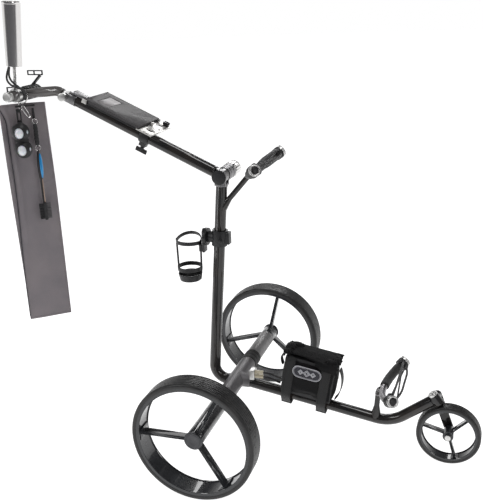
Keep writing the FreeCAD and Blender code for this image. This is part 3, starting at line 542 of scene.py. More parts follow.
# %% cloth finishes
def waffle_finish():
    finish = Finish("waffle_towel", Sheen_Weight=0.35, Sheen_Roughness=0.5)
    uv = finish.node("ShaderNodeUVMap", {"uv_map": "cut"})
    u, v, w = finish.parts(uv)
    cell = math.tau / 0.0042
    walls = abs((u * cell).sine()) * abs((v * cell).sine())
    pile = finish.noise(1300, 2)
    tone = (finish.noise(9, 4) * 2.4 - 0.75).clamped()
    ground = finish.mix(tone, (0.115, 0.108, 0.128), (0.23, 0.203, 0.212))
    finish.set("Base Color", finish.mix((walls * 0.75 + pile * 0.3).clamped(), ground, (0.3, 0.268, 0.278)))
    finish.set("Roughness", 0.85 + pile * 0.12)
    finish.set("Normal", finish.bump(walls * -1.0 + pile * 0.35, 0.0012, 0.6))
    return finish.material


def nylon_finish(name="bag_nylon", colour=(0.006, 0.006, 0.0065), light=(0.015, 0.0145, 0.015), pitch=0.0014):
    finish = Finish(name, Sheen_Weight=0.0225, Sheen_Roughness=0.4, Specular_IOR_Level=0.113)
    x, y, z = finish.parts(finish.place())
    weave = ((x + y) * (math.tau / pitch)).sine() * ((z + y) * (math.tau / pitch)).sine()
    fade = (finish.noise(30, 5) * 2 - 0.7).clamped()
    finish.set("Base Color", finish.mix(fade, colour, light))
    finish.set("Roughness", 0.62 + fade * 0.18)
    finish.set("Normal", finish.bump(weave * 0.6 + finish.noise(800, 2) * 0.6, 0.0005, 0.55))
    return finish.material


def webbing_finish():
    finish = Finish("ribbed_webbing", Sheen_Weight=0.09)
    x, y, z = finish.parts(finish.place())
    ribs = ((x * 0.987 + z * 0.162) * (math.tau / 0.0024)).sine()
    picks = ((z - x * 0.16 + y) * (math.tau / 0.0016)).sine()
    fuzz = finish.noise(900, 3)
    finish.set("Base Color", finish.mix(fuzz, (0.0036, 0.0036, 0.00405), (0.009, 0.009, 0.00945)))
    finish.set("Roughness", 0.66 + fuzz * 0.2)
    finish.set("Normal", finish.bump(ribs * 0.5 + ribs * picks * 0.4, 0.0006, 0.6))
    return finish.material


def braid_finish(name="braided_cord", colour=(0.007, 0.007, 0.0075), light=(0.028, 0.028, 0.03)):
    finish = Finish(name, Sheen_Weight=0.2)
    x, y, z = finish.parts(finish.place())
    braid = ((x + z) * (math.tau / 0.0018)).sine() * ((y - z) * (math.tau / 0.0018)).sine()
    finish.set("Base Color", finish.mix((braid * 0.5 + 0.5).clamped(), colour, light))
    finish.set("Roughness", 0.5 + finish.noise(500, 2) * 0.2)
    finish.set("Normal", finish.bump(braid, 0.0003, 0.5))
    return finish.material


# %% [markdown]
# ## Small finishes
# Golf balls, the blue brush grip, the embroidered patch and the milky plug
# housings each need their own.

# %% small finishes
def ball_finish():
    finish = Finish("ball_cover", Coat_Weight=0.8, Coat_Roughness=0.08, Subsurface_Weight=0.1)
    scuff = (finish.noise(120, 4) * 2.4 - 1.2).clamped()
    finish.set("Base Color", finish.mix(scuff, (0.8, 0.81, 0.85), (0.6, 0.61, 0.64)))
    finish.set("Roughness", 0.22 + scuff * 0.25)
    return finish.material


def gloss_colour_finish(name, colour, dark, rough=0.25):
    finish = Finish(name, Coat_Weight=0.5, Coat_Roughness=0.12)
    flow = finish.noise(80, 4)
    finish.set("Base Color", finish.mix((flow * 1.6 - 0.3).clamped(), dark, colour))
    finish.set("Roughness", rough + finish.noise(600, 2) * 0.12)
    finish.set("Normal", finish.bump(finish.noise(700, 2), 0.0002, 0.2))
    return finish.material


def thread_finish(name, colour, dark):
    finish = Finish(name, Sheen_Weight=0.3)
    x, y, z = finish.parts(finish.place())
    stitches = ((x * 1.6 + z) * (math.tau / 0.0011)).sine()
    finish.set("Base Color", finish.mix((stitches * 0.5 + 0.5).clamped(), dark, colour))
    finish.set("Roughness", 0.6 + finish.noise(700, 2) * 0.2)
    finish.set("Normal", finish.bump(stitches, 0.0003, 0.5))
    return finish.material


FINISHES = {
    "carbon": carbon_finish(), "cast": cast_grey_finish(), "rim": rim_finish(),
    "motor": cast_grey_finish("motor_grey", (0.14, 0.135, 0.135), (0.24, 0.235, 0.235)),
    "motor_dark": rim_finish("motor_dark", (0.03, 0.03, 0.032), (0.06, 0.058, 0.06)),
    "neck": rim_finish("neck_lacquer", (0.075, 0.07, 0.068), (0.13, 0.122, 0.118)),
    "tyre": tyre_finish(), "collar": collar_finish(), "plastic": plastic_finish(),
    "silicone": silicone_finish(), "foam": foam_finish(), "steel": steel_finish(),
    "satin": satin_metal_finish(), "gun": gun_metal_finish(),
    "dark_hub": satin_metal_finish("hub_anodised", (0.05, 0.052, 0.056), (0.1, 0.1, 0.105), 0.32),
    "cradle": satin_metal_finish("cradle_tube", (0.16, 0.155, 0.16), (0.3, 0.29, 0.3), 0.28),
    "waffle": waffle_finish(), "nylon": nylon_finish(), "webbing": webbing_finish(),
    "braid": braid_finish(), "ball": ball_finish(),
    "board": satin_metal_finish("board_plate", (0.5, 0.49, 0.47), (0.72, 0.71, 0.69), 0.35),
    "lid": plastic_finish("lid_grey", (0.05, 0.047, 0.049), (0.072, 0.068, 0.07), 0.6),
    "screen": plastic_finish("lid_window", (0.14, 0.128, 0.132), (0.19, 0.175, 0.18), 0.3),
    "blue": gloss_colour_finish("brush_blue", (0.01, 0.31, 0.68), (0.006, 0.2, 0.5)),
    "copper": satin_metal_finish("brush_stem", (0.3, 0.22, 0.18), (0.45, 0.34, 0.28), 0.25),
    "beige": gloss_colour_finish("plug_shell", (0.62, 0.56, 0.42), (0.4, 0.35, 0.25), 0.3),
    "pale_thread": thread_finish("pale_thread", (0.75, 0.75, 0.78), (0.42, 0.42, 0.46)),
    "dark_thread": thread_finish("dark_thread", (0.016, 0.016, 0.03), (0.006, 0.006, 0.012)),
    "towel_thread": thread_finish("towel_thread", (0.2, 0.18, 0.19), (0.12, 0.105, 0.11)),
}
print(len(FINISHES), "finishes made")

# %% [markdown]
# ## Dressing a CAD part
# A carried-over part keeps its exact shape. A merged copy can be shaded smooth across its
# curves, so the rounds look round, and it stands in for the part's own loose triangles.
# Castings get one more step: a voxel remesh and a little smoothing melt the joins between
# their cylinders into the fillets that a mould leaves.


def dress(obj, name, finish, body, slot, replaced=(), angle=35):
    """Names a finished piece, shades it, and hands it to its body."""
    obj.name = name
    obj.data.name = name
    obj.data.materials.clear()
    obj.data.materials.append(FINISHES[finish])
    if angle:
        smooth(obj, angle)
    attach(obj, body)
    if replaced:
        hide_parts(*([replaced] if isinstance(replaced, str) else replaced))
    return obj


def from_node(*nodes):
    """A merged, editable copy of one or more CAD parts."""
    twins = []
    for node in nodes:
        twin = copied(frame["nodes"][node])
        twin.parent = None
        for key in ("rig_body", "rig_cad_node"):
            del twin[key]
        twins.append(twin)
    whole = joined(twins)
    return edit(whole, lambda: bpy.ops.mesh.remove_doubles(threshold=0.000002))


def cast_shape(obj, voxel, rounds=3, keep=40000):
    """Melts a part's joins together, as a mould would."""
    modify(obj, "REMESH", mode="VOXEL", voxel_size=voxel)
    modify(obj, "SMOOTH", factor=0.5, iterations=rounds)
    faces = len(obj.data.polygons)
    if faces > keep:
        modify(obj, "DECIMATE", ratio=keep / faces)
    return obj


def body_of(node):
    return next(name for name, nodes in frame["record"]["behaviour"]["bodies"].items() if node in nodes)


def slot_of(node):
    return next(part["material_slot"] for part in frame["record"]["subparts"] if part["node"] == node)


def carry_over(node, finish, angle=35):
    """The part as CAD made it, smooth-shaded and finished."""
    return dress(from_node(node), node + "_shown", finish, body_of(node), slot_of(node), node, angle)


def carry_cast(node, finish, voxel, rounds=3):
    return dress(cast_shape(from_node(node), voxel, rounds), node + "_shown", finish,
                 body_of(node), slot_of(node), node, 60)



# %% [markdown]
# ## Places to model in
# Each part of the trolley is easiest to model in its own directions: along the handle, along
# the battery tube, or facing the way the towel hangs. A matrix per place turns millimetres in
# those directions into the row's metres, so each shape below is a list of small numbers.

# %% modelling frames
def local_frame(origin, x_axis, y_axis, z_axis):
    axes = Matrix((x_axis, y_axis, z_axis)).transposed().to_4x4()
    return Matrix.Translation(origin) @ axes @ Matrix.Scale(MM, 4)


def slope(degrees):
    """A direction in the cart's side view, degrees up from forward."""
    return Vector((math.cos(math.radians(degrees)), 0, math.sin(math.radians(degrees))))


CART = local_frame(Vector((AXLE.x, 0, 0)), (1, 0, 0), (0, 1, 0), (0, 0, 1))
SHAFT = local_frame(FOLD, slope(180 - 24.8), ACROSS, slope(90 - 24.8))
BAG = local_frame(CART @ Vector((188, 0, 121.6)), slope(-9.35), ACROSS, slope(90 - 9.35))
HOOK = local_frame(HANG, Matrix.Rotation(math.radians(40), 3, "Z") @ Vector((1, 0, 0)),
                   Matrix.Rotation(math.radians(40), 3, "Z") @ ACROSS, UP)
STICK = local_frame(BAR + ACROSS * -37 * MM, slope(-5.3), ACROSS, slope(90 - 5.3))


def cradle_place(joint):
    """x in the direction that the cradle opens, y across, from the middle of its tube."""
    opening = slope(37.6)
    return local_frame(pivot(joint) + opening * 15.5 * MM, opening, ACROSS, opening.cross(ACROSS))


print("shaft frame from", [round(v, 4) for v in SHAFT.translation])

# %% [markdown]
# ## The cords
# Two limp elastic cords drop from under the umbrella tube, cross its stem and go once round
# the bar, and two short stiff leads leave the battery plug. A cord is a curve: a few control
# points and a round section. A NURBS spline passes smoothly near its points, so the points
# can stay few.

# %% cord maker
def cord(name, points, radius, finish, body, slot, replaced, place=CART, **facts):
    curve = bpy.data.curves.new(name, "CURVE")
    curve.dimensions = "3D"
    curve.bevel_depth = radius * MM
    curve.bevel_resolution = 3
    curve.use_fill_caps = True
    spline = curve.splines.new("NURBS")
    spline.points.add(len(points) - 1)
    for point, spot in zip(spline.points, points):
        point.co = (*(place @ Vector(spot)), 1)
    spline.order_u = 3
    spline.use_endpoint_u = True
    spline.resolution_u = 10
    obj = bpy.data.objects.new(name, curve)
    bpy.context.scene.collection.objects.link(obj)
    curve.materials.append(FINISHES[finish])
    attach(obj, body)
    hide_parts(replaced)
    2 * radius * MM
    line_length(points)
    return obj


def line_length(points):
    """Length of the smooth line through a curve's control points, in metres."""
    curve = bpy.data.curves.new("line", "CURVE")
    curve.dimensions = "3D"
    spline = curve.splines.new("NURBS")
    spline.points.add(len(points) - 1)
    for point, place in zip(spline.points, points):
        point.co = (*place, 1)
    spline.order_u = 3
    spline.use_endpoint_u = True
    spline.resolution_u = 10
    obj = bpy.data.objects.new("line", curve)
    mesh = bpy.data.meshes.new_from_object(obj)
    corners = [vertex.co.copy() for vertex in mesh.vertices]
    bpy.data.objects.remove(obj)
    return sum((b - a).length for a, b in zip(corners, corners[1:])) * MM


# %% umbrella cords and battery leads
BAR_MM = Vector((-546, 0, 891))
WRAP_R = 15.8


def wrapped(fall, wrap_y):
    """Down from the umbrella tube, then eight points once round the bar."""
    points = [Vector(place) for place in fall]
    corner_r = WRAP_R / math.cos(math.radians(22.5))
    for step in range(8):
        angle = math.radians(20 - 45 * step)
        points.append(BAR_MM + Vector((corner_r * math.cos(angle), wrap_y + 0.1 * step,
                                       corner_r * math.sin(angle))))
    return points


UMBRELLA_CORDS = {
    "umbrella_cord_near": wrapped([(-552, -40, 961), (-554, -44, 946), (-547, -50, 930),
                                   (-534, -46, 917), (-527.5, -35, 906)], -27.2),
    "umbrella_cord_far": wrapped([(-557, -34, 962), (-561, -42, 945), (-555, -54, 929), (-541, -53, 915),
                                  (-526, -44, 910), (-520, -32, 903)], -21.4),
}
BATTERY_LEADS = {
    "battery_lead_low": [(76, -8, 170.5), (92, -8, 170.5), (106, -7, 164), (121, -7, 160)],
    "battery_lead_high": [(76, -8, 182.5), (92, -8, 182.5), (108, -7, 176), (123.5, -7, 173)],
}
for name, points in UMBRELLA_CORDS.items():
    cord(name, points, 2.6, "braid", "umbrella_holder", "cord_black", "umbrella_cords",
         far_end="object", stiffness="limp", lay="loose")
for name, points in BATTERY_LEADS.items():
    cord(name, points, 3.2, "plastic", "chassis", "cord_black", "battery_lead",
         far_end="object", stiffness="stiff", lay="loose")
    print(name, round(line_length(points), 4), "m")

# %% [markdown]
# ## The frame tubes and castings
# The mast, front tube, handle shaft and neck are plain bent tubes, so they are carried over.
# The axle housing, the strut feet, the fork and the drink cage are castings or mouldings, so
# their joins are melted together.

# %% tubes and castings
for node, finish in (("mast_tube", "carbon"), ("front_tube", "carbon"), ("handle_shaft", "carbon"),
                     ("neck_tube", "neck"), ("t_bar", "neck"), ("handle_knuckle", "carbon"),
                     ("umbrella_stem", "satin"), ("right_spokes", "rim"), ("left_spokes", "rim"),
                     ("front_spokes", "rim"), ("drive_motors", "gun"), ("battery_pack", "plastic")):
    carry_over(node, finish)

for node, finish, voxel in (("axle_housing", "cast", 0.0016), ("upper_strut", "carbon", 0.0009),
                            ("lower_strut", "carbon", 0.0009), ("front_fork", "carbon", 0.001),
                            ("drink_cage", "plastic", 0.0008)):
    carry_cast(node, finish, voxel)

# %% [markdown]
# ## Bevelled hardware
# Machined parts never have knife edges. A narrow bevel on every sharp edge of the bracket,
# the bolts, the knobs and the clamps catches a thin highlight. The ring on the bar carries a
# wire gate and a short black bar that the small things hang from.

# %% bevelled hardware
for node, finish, width in (("neck_bracket", "gun", 0.8), ("fork_bolts", "satin", 0.6),
                            ("neck_knob", "satin", 0.5), ("board_base", "board", 0.5),
                            ("board_clamp", "plastic", 0.8), ("wing_screw", "plastic", 0.7),
                            ("pencil_clip", "plastic", 0.5), ("cage_clamp", "plastic", 0.4),
                            ("cage_arm", "plastic", 0.4)):
    piece = from_node(node)
    bevelled(piece, width * MM, 2)
    dress(piece, node + "_shown", finish, body_of(node), slot_of(node), node)

sill = bevelled(block((224, -58.7, 26.1), (369.3, 58.7, 29.9)), 0.4, 2)
moved(sill, SHAFT)
dress(sill, "board_sill", "plastic", "handle", "black_plastic", ())

# %% hanging ring and snap hook
hang_loop = ring((-546, -16, 886.8), ACROSS, 18.8, 1.7, 64, 12)
moved(hang_loop, CART)
gate = wire_through([(2, -10.5, -4), (6, -11.5, -9), (17, -12, -31), (15, -12, -36), (9, -11.8, -33),
                     (-3, -11, -10), (-3, -10.4, -5)], 1.15, 8, True)
moved(gate, HOOK)
hang_ring_piece = joined([hang_loop, gate])
dress(hang_ring_piece, "hang_ring_shown", "steel", "neck", "chrome", "hang_ring")
hang_bar = rod((6, -8, -5.7), (1, 0, 0), 48, 2.1, 24)
moved(hang_bar, HOOK)
dress(hang_bar, "hang_strap_bar", "silicone", "neck", "webbing", ())

# %% [markdown]
# ## Rolling parts
# A tyre is a lathe job: half of its section is drawn as an outline and spun round the axle.
# The fine lines of the tread are grooves in that outline, and short cuts pressed across the
# ribs, unevenly spaced, break their shine up as the real tread does.

# %% tyres
random.seed(7)


def tyre_outline(half, radius, thickness, shoulder, grooves, groove_half=0.5, groove_deep=1.3):
    """Section of a tyre from one bead over the tread to the other, inner face last."""
    bead = radius - thickness
    outline = [(-half + 0.6, bead + 0.1), (-half, bead + 2)]
    for step in range(5):
        angle = math.radians(180 - 22.5 * step)
        outline.append((-half + shoulder * (1 + math.cos(angle)),
                        radius - shoulder * (1 - math.sin(angle))))
    for place in grooves:
        crown = radius - 0.5 * (place / half) ** 2
        outline += [(place - groove_half - 0.5, crown), (place - groove_half, crown - groove_deep),
                    (place + groove_half, crown - groove_deep), (place + groove_half + 0.5, crown)]
    mirrored = [(-along, r) for along, r in reversed(outline[:7])]
    return outline + mirrored + [(half - 2, bead + 0.1), (-half + 2, bead + 0.1)]


def cut_sipes(obj, centre, radius, half, every, steps):
    """Presses narrow cuts into the ribs of the tread."""
    chosen = {(step, rib) for step in range(steps) for rib in range(9) if random.random() < every}
    only(obj)

    def in_a_sipe(face):
        spot = face.center - centre
        out = math.hypot(spot.x, spot.z)
        if out < radius - 1.0 or abs(spot.y) > half - 4.5:
            return False
        step = int(steps * (math.atan2(spot.z, spot.x) / math.tau + 0.5))
        return (step, int((spot.y + half) // 6)) in chosen
    pick(obj, in_a_sipe)
    bpy.ops.mesh.inset(thickness=0.6, depth=-0.5, use_individual=True)
    bpy.ops.object.mode_set(mode="OBJECT")
    return obj


def make_tyre(name, centre, half, radius, thickness, grooves, steps, every):
    outline = tyre_outline(half, radius, thickness, 5, grooves)
    tyre = turned_profile(outline, centre, ACROSS, steps)
    cut_sipes(tyre, Vector(centre), radius, half, every, steps)
    moved(tyre, CART)
    return dress(tyre, name + "_tread", "tyre", name.replace("_tyre", "_wheel"), "tyre_black", name, 40)


REAR_GROOVES = [-20, -13.3, -6.7, 0, 6.7, 13.3, 20]
make_tyre("right_tyre", (0, -291.5, 150), 27, 150, 10.5, REAR_GROOVES, 300, 0.05)
make_tyre("left_tyre", (0, 291.5, 150), 27, 150, 10.5, REAR_GROOVES, 300, 0.05)
make_tyre("front_tyre", (545, 0, 77.2), 15.5, 77.2, 8, [-8, -2.7, 2.7, 8], 180, 0.05)

# %% [markdown]
# ## Hub caps and motor tubes
# Each hub cap is a shallow anodised dish with a turned ring and no mark on it. The far motor
# tube is grey with three grooves near its end. The near one is darker and glossier, with two
# fine bands.

# %% hub caps and motor tubes
def lathe_piece(name, outline, place, matrix, axis, finish, body, slot, replaced, steps=96, angle=30):
    piece = turned_profile(outline, place, axis, steps)
    moved(piece, matrix)
    return dress(piece, name, finish, body, slot, replaced, angle)


def rim_outline(half, outer, thickness, lip):
    """Half a rim's section, from its outer edge over the lip to the channel, then mirrored."""
    inner, floor = outer - thickness, outer - thickness + 2.2
    near = [(-half, outer - 0.1), (-half, inner + 0.8), (-half + 0.8, inner), (-half + lip - 0.6, inner),
            (-half + lip, inner + 0.6), (-half + lip, floor - 0.7), (-half + lip + 0.9, floor)]
    return near + [(-along, r) for along, r in reversed(near)]


for name, centre, outline in (("right", (0, -291.5, 150), rim_outline(26, 139.5, 8.2, 3)),
                              ("left", (0, 291.5, 150), rim_outline(26, 139.5, 8.2, 3)),
                              ("front", (545, 0, 77.2), rim_outline(14.5, 69.2, 5.6, 2))):
    lathe_piece(name + "_rim_hoop", outline, centre, CART, ACROSS, "rim", name + "_wheel", "rim_black",
                name + "_rim", 192)

CAP_OUTLINE = [(0, 0), (0, 22.5), (2, 22.5), (3.0, 21.4), (3.4, 19.6), (3.5, 17.8), (3.1, 17.4), (3.1, 16.6),
               (3.5, 16.2), (3.3, 10), (2.7, 8.4), (2.6, 0)]
for side, name in ((-1, "right"), (1, "left")):
    lathe_piece(name + "_cap_dish", CAP_OUTLINE, (0, side * 304, 150), CART, ACROSS * side, "dark_hub",
                name + "_wheel", "hub_dark", name + "_hub_cap")

FAR_TUBE = [(0, 19), (0, 20.4), (0.6, 21)]
for place in (89, 99, 109):
    FAR_TUBE += [(place, 21), (place + 0.3, 20.2), (place + 2.2, 20.2), (place + 2.5, 21)]
FAR_TUBE += [(124.4, 21), (125, 20.4), (125, 19)]
NEAR_TUBE = [(0, 19), (0, 20.4), (0.6, 21)]
for place in (58, 70):
    NEAR_TUBE += [(place, 21), (place + 0.3, 20.3), (place + 1.5, 20.3), (place + 1.8, 21)]
NEAR_TUBE += FAR_TUBE[-3:]
for name, side, outline, finish in (("left_motor_tube", 1, FAR_TUBE, "motor"),
                                    ("right_motor_tube", -1, NEAR_TUBE, "motor_dark")):
    lathe_piece(name, outline, (0, side * 133, 150), CART, ACROSS * side, finish, "chassis",
                "motor_grey", "motor_tubes")

COLLAR = [(0, 11), (0, 21.8), (1.2, 22.6), (14, 22.6), (15, 22.2), (17, 22.2), (18, 22.6), (29, 22.6),
          (30, 22.2), (32, 22.2), (33, 22.6), (43.8, 22.6), (45, 21.8), (45, 11)]
for name, side in (("left_collar", 1), ("right_collar", -1)):
    lathe_piece(name, COLLAR, (0, side * 88, 150), CART, ACROSS * side, "collar", "chassis",
                "black_rubber", "motor_collars")

# %% [markdown]
# ## The fold hinge
# The hinge has a black domed cap on its near end, a gun-metal barrel with turned steps, and a
# bright knurled knob. The knurl is a ring of shallow flutes, pressed in by moving the knob's
# points inwards in a wave round its axis.

# %% hinge barrel, cap and knob
HINGE_MM = Vector((-16, 0, 699))
carry_cast("hinge_barrel", "gun", 0.0009, 2)
HINGE_CAP = [(0, 0), (0, 17.2), (1.2, 18.2), (3.6, 18.2), (4.4, 17.4), (5, 15), (5.2, 0)]
lathe_piece("hinge_end_cap", HINGE_CAP, HINGE_MM + Vector((0, -20.5, 0)), CART, -ACROSS, "plastic", "chassis",
            "black_plastic", ())
BARREL_STEPS = [(0, 17.4), (0, 18.4), (10, 18.4), (10.4, 17.6), (12, 17.6), (12.4, 18.4), (26, 18.4),
                (26.5, 17.0), (29, 17.0), (29.5, 18.4), (43, 18.4), (43.6, 17.6), (43.6, 17.4)]
lathe_piece("hinge_sleeve", BARREL_STEPS, HINGE_MM + Vector((0, 8.2, 0)), CART, ACROSS, "gun", "chassis",
            "gun_metal", ())


def knurled(outline, place, axis, flutes, depth, low, high, steps=None):
    """A lathe piece with flutes pressed into it between two radii."""
    piece = turned_profile(outline, (0, 0, 0), UP, steps or flutes * 6)
    for vertex in piece.data.vertices:
        out = math.hypot(vertex.co.x, vertex.co.y)
        if low <= out <= high:
            wave = 0.5 - 0.5 * math.cos(flutes * math.atan2(vertex.co.y, vertex.co.x))
            keep = 1 - depth * wave / out
            vertex.co.x *= keep
            vertex.co.y *= keep
    turn = UP.rotation_difference(Vector(axis).normalized()).to_matrix().to_4x4()
    return moved(piece, Matrix.Translation(Vector(place)) @ turn)


KNOB = [(0, 6.2), (0, 15), (1, 17.5), (3, 19.6), (6, 20), (30, 20), (34, 19.4), (37, 16.5), (38, 13),
        (37.2, 11), (37.2, 0), (33, 0), (33, 6.2)]
knob = knurled(KNOB, HINGE_MM + Vector((0, 53, 0)), ACROSS, 18, 1.3, 18, 21)
moved(knob, CART)
dress(knob, "hinge_knob_fluted", "steel", "hinge_knob", "clear_knob", "hinge_knob", 40)
DIAL = [(0, 3.2), (0, 11.8), (0.7, 12.6), (12, 12.6), (13, 12.1), (13.5, 11.2), (13.2, 10.4),
        (13.0, 6), (12.8, 0),
        (5.5, 0), (5.5, 3.2)]
dial = knurled(DIAL, BAR_MM + Vector((0, -62.5, 0)), -ACROSS, 36, 0.5, 12.3, 13)
moved(dial, CART)
dress(dial, "speed_dial_knurled", "satin", "speed_dial", "hub_silver", "speed_dial", 40)
print("hinge, knob and dial done")

# %% [markdown]
# ## The towel
# A golf towel is one rectangle of waffle cloth, folded down its length so that a second layer
# hangs behind the first. The sheet starts as a flat grid. The front layer's free edge is drawn
# in, so a strip of the back layer shows beside it, and long soft flutes run down from the top
# and die out towards the hem. The UV map keeps the flat cloth's millimetres, and the weave
# follows it: it opens a little on the back layer and closes a little where the front draws in.

# %% towel
TOWEL_WIDE, TOWEL_LONG = 128.0, 590.0
FOLD_OVER = 118.0
BACK_STRETCH = 1.085


def smooth_step(value):
    value = min(1, max(0, value))
    return value * value * (3 - 2 * value)


def hang_shape(s, t):
    """Where the point s across and t down the cloth hangs, in the hook's millimetres."""
    down = t / TOWEL_LONG
    front = s <= TOWEL_WIDE
    across = s if front else 2 * TOWEL_WIDE - s
    left = -58.5 + 2.0 * math.sin(2.4 * down) + 6.5 * smooth_step((down - 0.2) / 0.8)
    inset = 13 * smooth_step(down / 0.08) * (1 - smooth_step((down - 0.3) / 0.6))
    right = 58.5 + 4 * smooth_step(down / 0.42)
    if front:
        left += inset
    spread = across if front else (across - (TOWEL_WIDE - FOLD_OVER)) * BACK_STRETCH
    x = left + (right - left) * spread / TOWEL_WIDE
    flute = math.exp(-((across - 12 - 10 * down) / 8) ** 2) * (1 - smooth_step((down - 0.2) / 0.7))
    roll = math.exp(-((across - 84 - 10 * down) / 20) ** 2) * (1 - 0.6 * down)
    wave = 1.1 * math.sin(across * 0.055 + down * 2.2) * (0.35 + 0.65 * down)
    ripple = math.sin(t * 0.2 + across * 0.07) * smooth_step(across / TOWEL_WIDE)
    creases = 0.8 * math.exp(-((t - 215) / 30) ** 2) * ripple
    creases += 0.7 * math.exp(-((t - 430 - 0.3 * across) / 14) ** 2)
    y = -1.2 - 2.2 * flute - 1.1 * roll + wave * 0.8 + creases
    if not front:
        y += 2.9 + 0.5 * math.sin(across * 0.08)
    y += 1.0
    z = -t - 0.4 + (1.6 - 1.6 * abs(across - TOWEL_WIDE / 2) / (TOWEL_WIDE / 2)) * (1 - smooth_step(down * 6))
    return Vector((x, max(-2.3, min(3.2, y)), z))


nothing_selected()
bpy.ops.mesh.primitive_grid_add(x_subdivisions=96, y_subdivisions=150, size=2)
towel = bpy.context.object
cloth = towel.data
cut = cloth.uv_layers.new(name="cut")
cloth.uv_layers.active = cut
FLAT_WIDE = TOWEL_WIDE + FOLD_OVER
for loop in cloth.loops:
    spot = cloth.vertices[loop.vertex_index].co
    cut.data[loop.index].uv = ((spot.x + 1) / 2 * FLAT_WIDE * MM, (1 - spot.y) / 2 * TOWEL_LONG * MM)
for vertex in cloth.vertices:
    vertex.co = hang_shape((vertex.co.x + 1) / 2 * FLAT_WIDE, (1 - vertex.co.y) / 2 * TOWEL_LONG)
for layer in list(cloth.uv_layers):
    if layer.name != "cut":
        cloth.uv_layers.remove(layer)
edit(towel, lambda: bpy.ops.mesh.normals_make_consistent(inside=False))
modify(towel, "SOLIDIFY", thickness=1.5, offset=0)
modify(towel, "SUBSURF", levels=1, render_levels=1)
moved(towel, HOOK)
dress(towel, "waffle_cloth", "waffle", "towel", "towel_grey", "towel", 60)

nothing_selected()
stitches = [wire_through([HOOK @ (hang_shape(s, TOWEL_LONG * part) + Vector((0, -0.95, 0)))
                          for part in [n / 40 for n in range(1, 41)]], 0.35 * MM, 6) for s in (3.0, 122.0)]
for t in (5.0, 584.0):
    stitches.append(wire_through([HOOK @ (hang_shape(s, t) + Vector((0, -0.95, 0)))
                                  for s in range(4, 122, 4)], 0.35 * MM, 6))
hem = joined(stitches)
dress(hem, "towel_hem_stitch", "towel_thread", "towel", "towel_grey", ())
# A dark cord along the front layer's free edge is painted shadow: a dark line standing in for the shade in
# the gap under that edge.
edge_shadow_cord = wire_through([HOOK @ (hang_shape(0.4, TOWEL_LONG * n / 60) + Vector((0, -0.3, 0)))
                        for n in range(1, 60)], 1.15 * MM, 8)
dress(edge_shadow_cord, "towel_edge_shadow_cord", "dark_thread", "towel", "towel_grey", ())
eyelet = ring((0, -0.2, -7.6), ACROSS, 8.6, 1.5, 48, 12)
moved(eyelet, HOOK)
dress(eyelet, "towel_eyelet", "steel", "towel", "chrome", ())
print("towel", FLAT_WIDE, "x", TOWEL_LONG, "mm flat, folded down its length")

# %% [markdown]
# ## Padding that looks padded
# Soft parts swell between their seams and are held in by their straps. The shell is remeshed
# into even cells, the cloth solver blows it up a little, and each point's travel is capped so
# that the part stays in the space that belongs to it.

# %% cloth helper
def puffed(obj, cap, pressure=4.0, frames=20):
    """Inflates a closed shell in metres, and keeps every point within cap of where it began."""
    start = [vertex.co.copy() for vertex in obj.data.vertices]
    only(obj)
    cloth = obj.modifiers.new("puff", "CLOTH")
    cloth.settings.use_pressure = True
    cloth.settings.uniform_pressure_force = pressure
    cloth.settings.effector_weights.gravity = 0
    cloth.settings.quality = 4
    cloth.point_cache.frame_start, cloth.point_cache.frame_end = 1, frames
    for number in range(1, frames + 1):
        bpy.context.scene.frame_set(number)
    bpy.ops.object.modifier_apply(modifier=cloth.name)
    bpy.context.scene.frame_set(1)
    for vertex, origin in zip(obj.data.vertices, start):
        travel = vertex.co - origin
        if travel.length > cap:
            vertex.co = origin + travel * (cap / travel.length)
    return obj


def reshaped(obj, matrix, rule):
    """Moves every point by a rule written in a modelling frame's millimetres."""
    inverse = matrix.inverted()
    for vertex in obj.data.vertices:
        vertex.co = matrix @ rule(inverse @ vertex.co)
    obj.data.update()
    return obj


def crumple(place, size, seed=0.0):
    """A smooth lumpy offset, the same every time."""
    return noise.noise_vector(place / size + Vector((seed, seed * 0.7, -seed)))


# %% [markdown]
# ## The battery bag
# The bag is a padded nylon box. The shell starts a few millimetres small, puffs out between
# the two webbing straps, and is pinched where they pass. Its lid is a second padded sheet
# that folds over the top, dips towards the front and is gathered into lobes at both ends.

# %% battery bag shell
STRAPS_AT = (-48, 44)
shell = bevelled(block((-66, -32, 18), (66, 32, 121)), 11, 4)
moved(shell, BAG)
modify(shell, "REMESH", mode="VOXEL", voxel_size=0.004)
puffed(shell, 0.006)
modify(shell, "SUBSURF", levels=1, render_levels=1)


def bag_shell(p):
    pinch = max(math.exp(-((p.x - at) / 13) ** 4) for at in STRAPS_AT)
    p = p + crumple(p, 26, 3) * 1.3 + crumple(p, 9, 5) * 0.35
    limit = 41.0 - 3.4 * pinch
    p.y = max(-limit, min(limit, p.y * (1.08 if abs(p.y) > 20 else 1)))
    p.x = max(-71.5, min(71.5, p.x * 1.02))
    p.z = max(15.8, min(126.6, p.z))
    return p


reshaped(shell, BAG, bag_shell)
dress(shell, "battery_bag_shell", "nylon", "chassis", "bag_fabric", "battery_bag", 60)

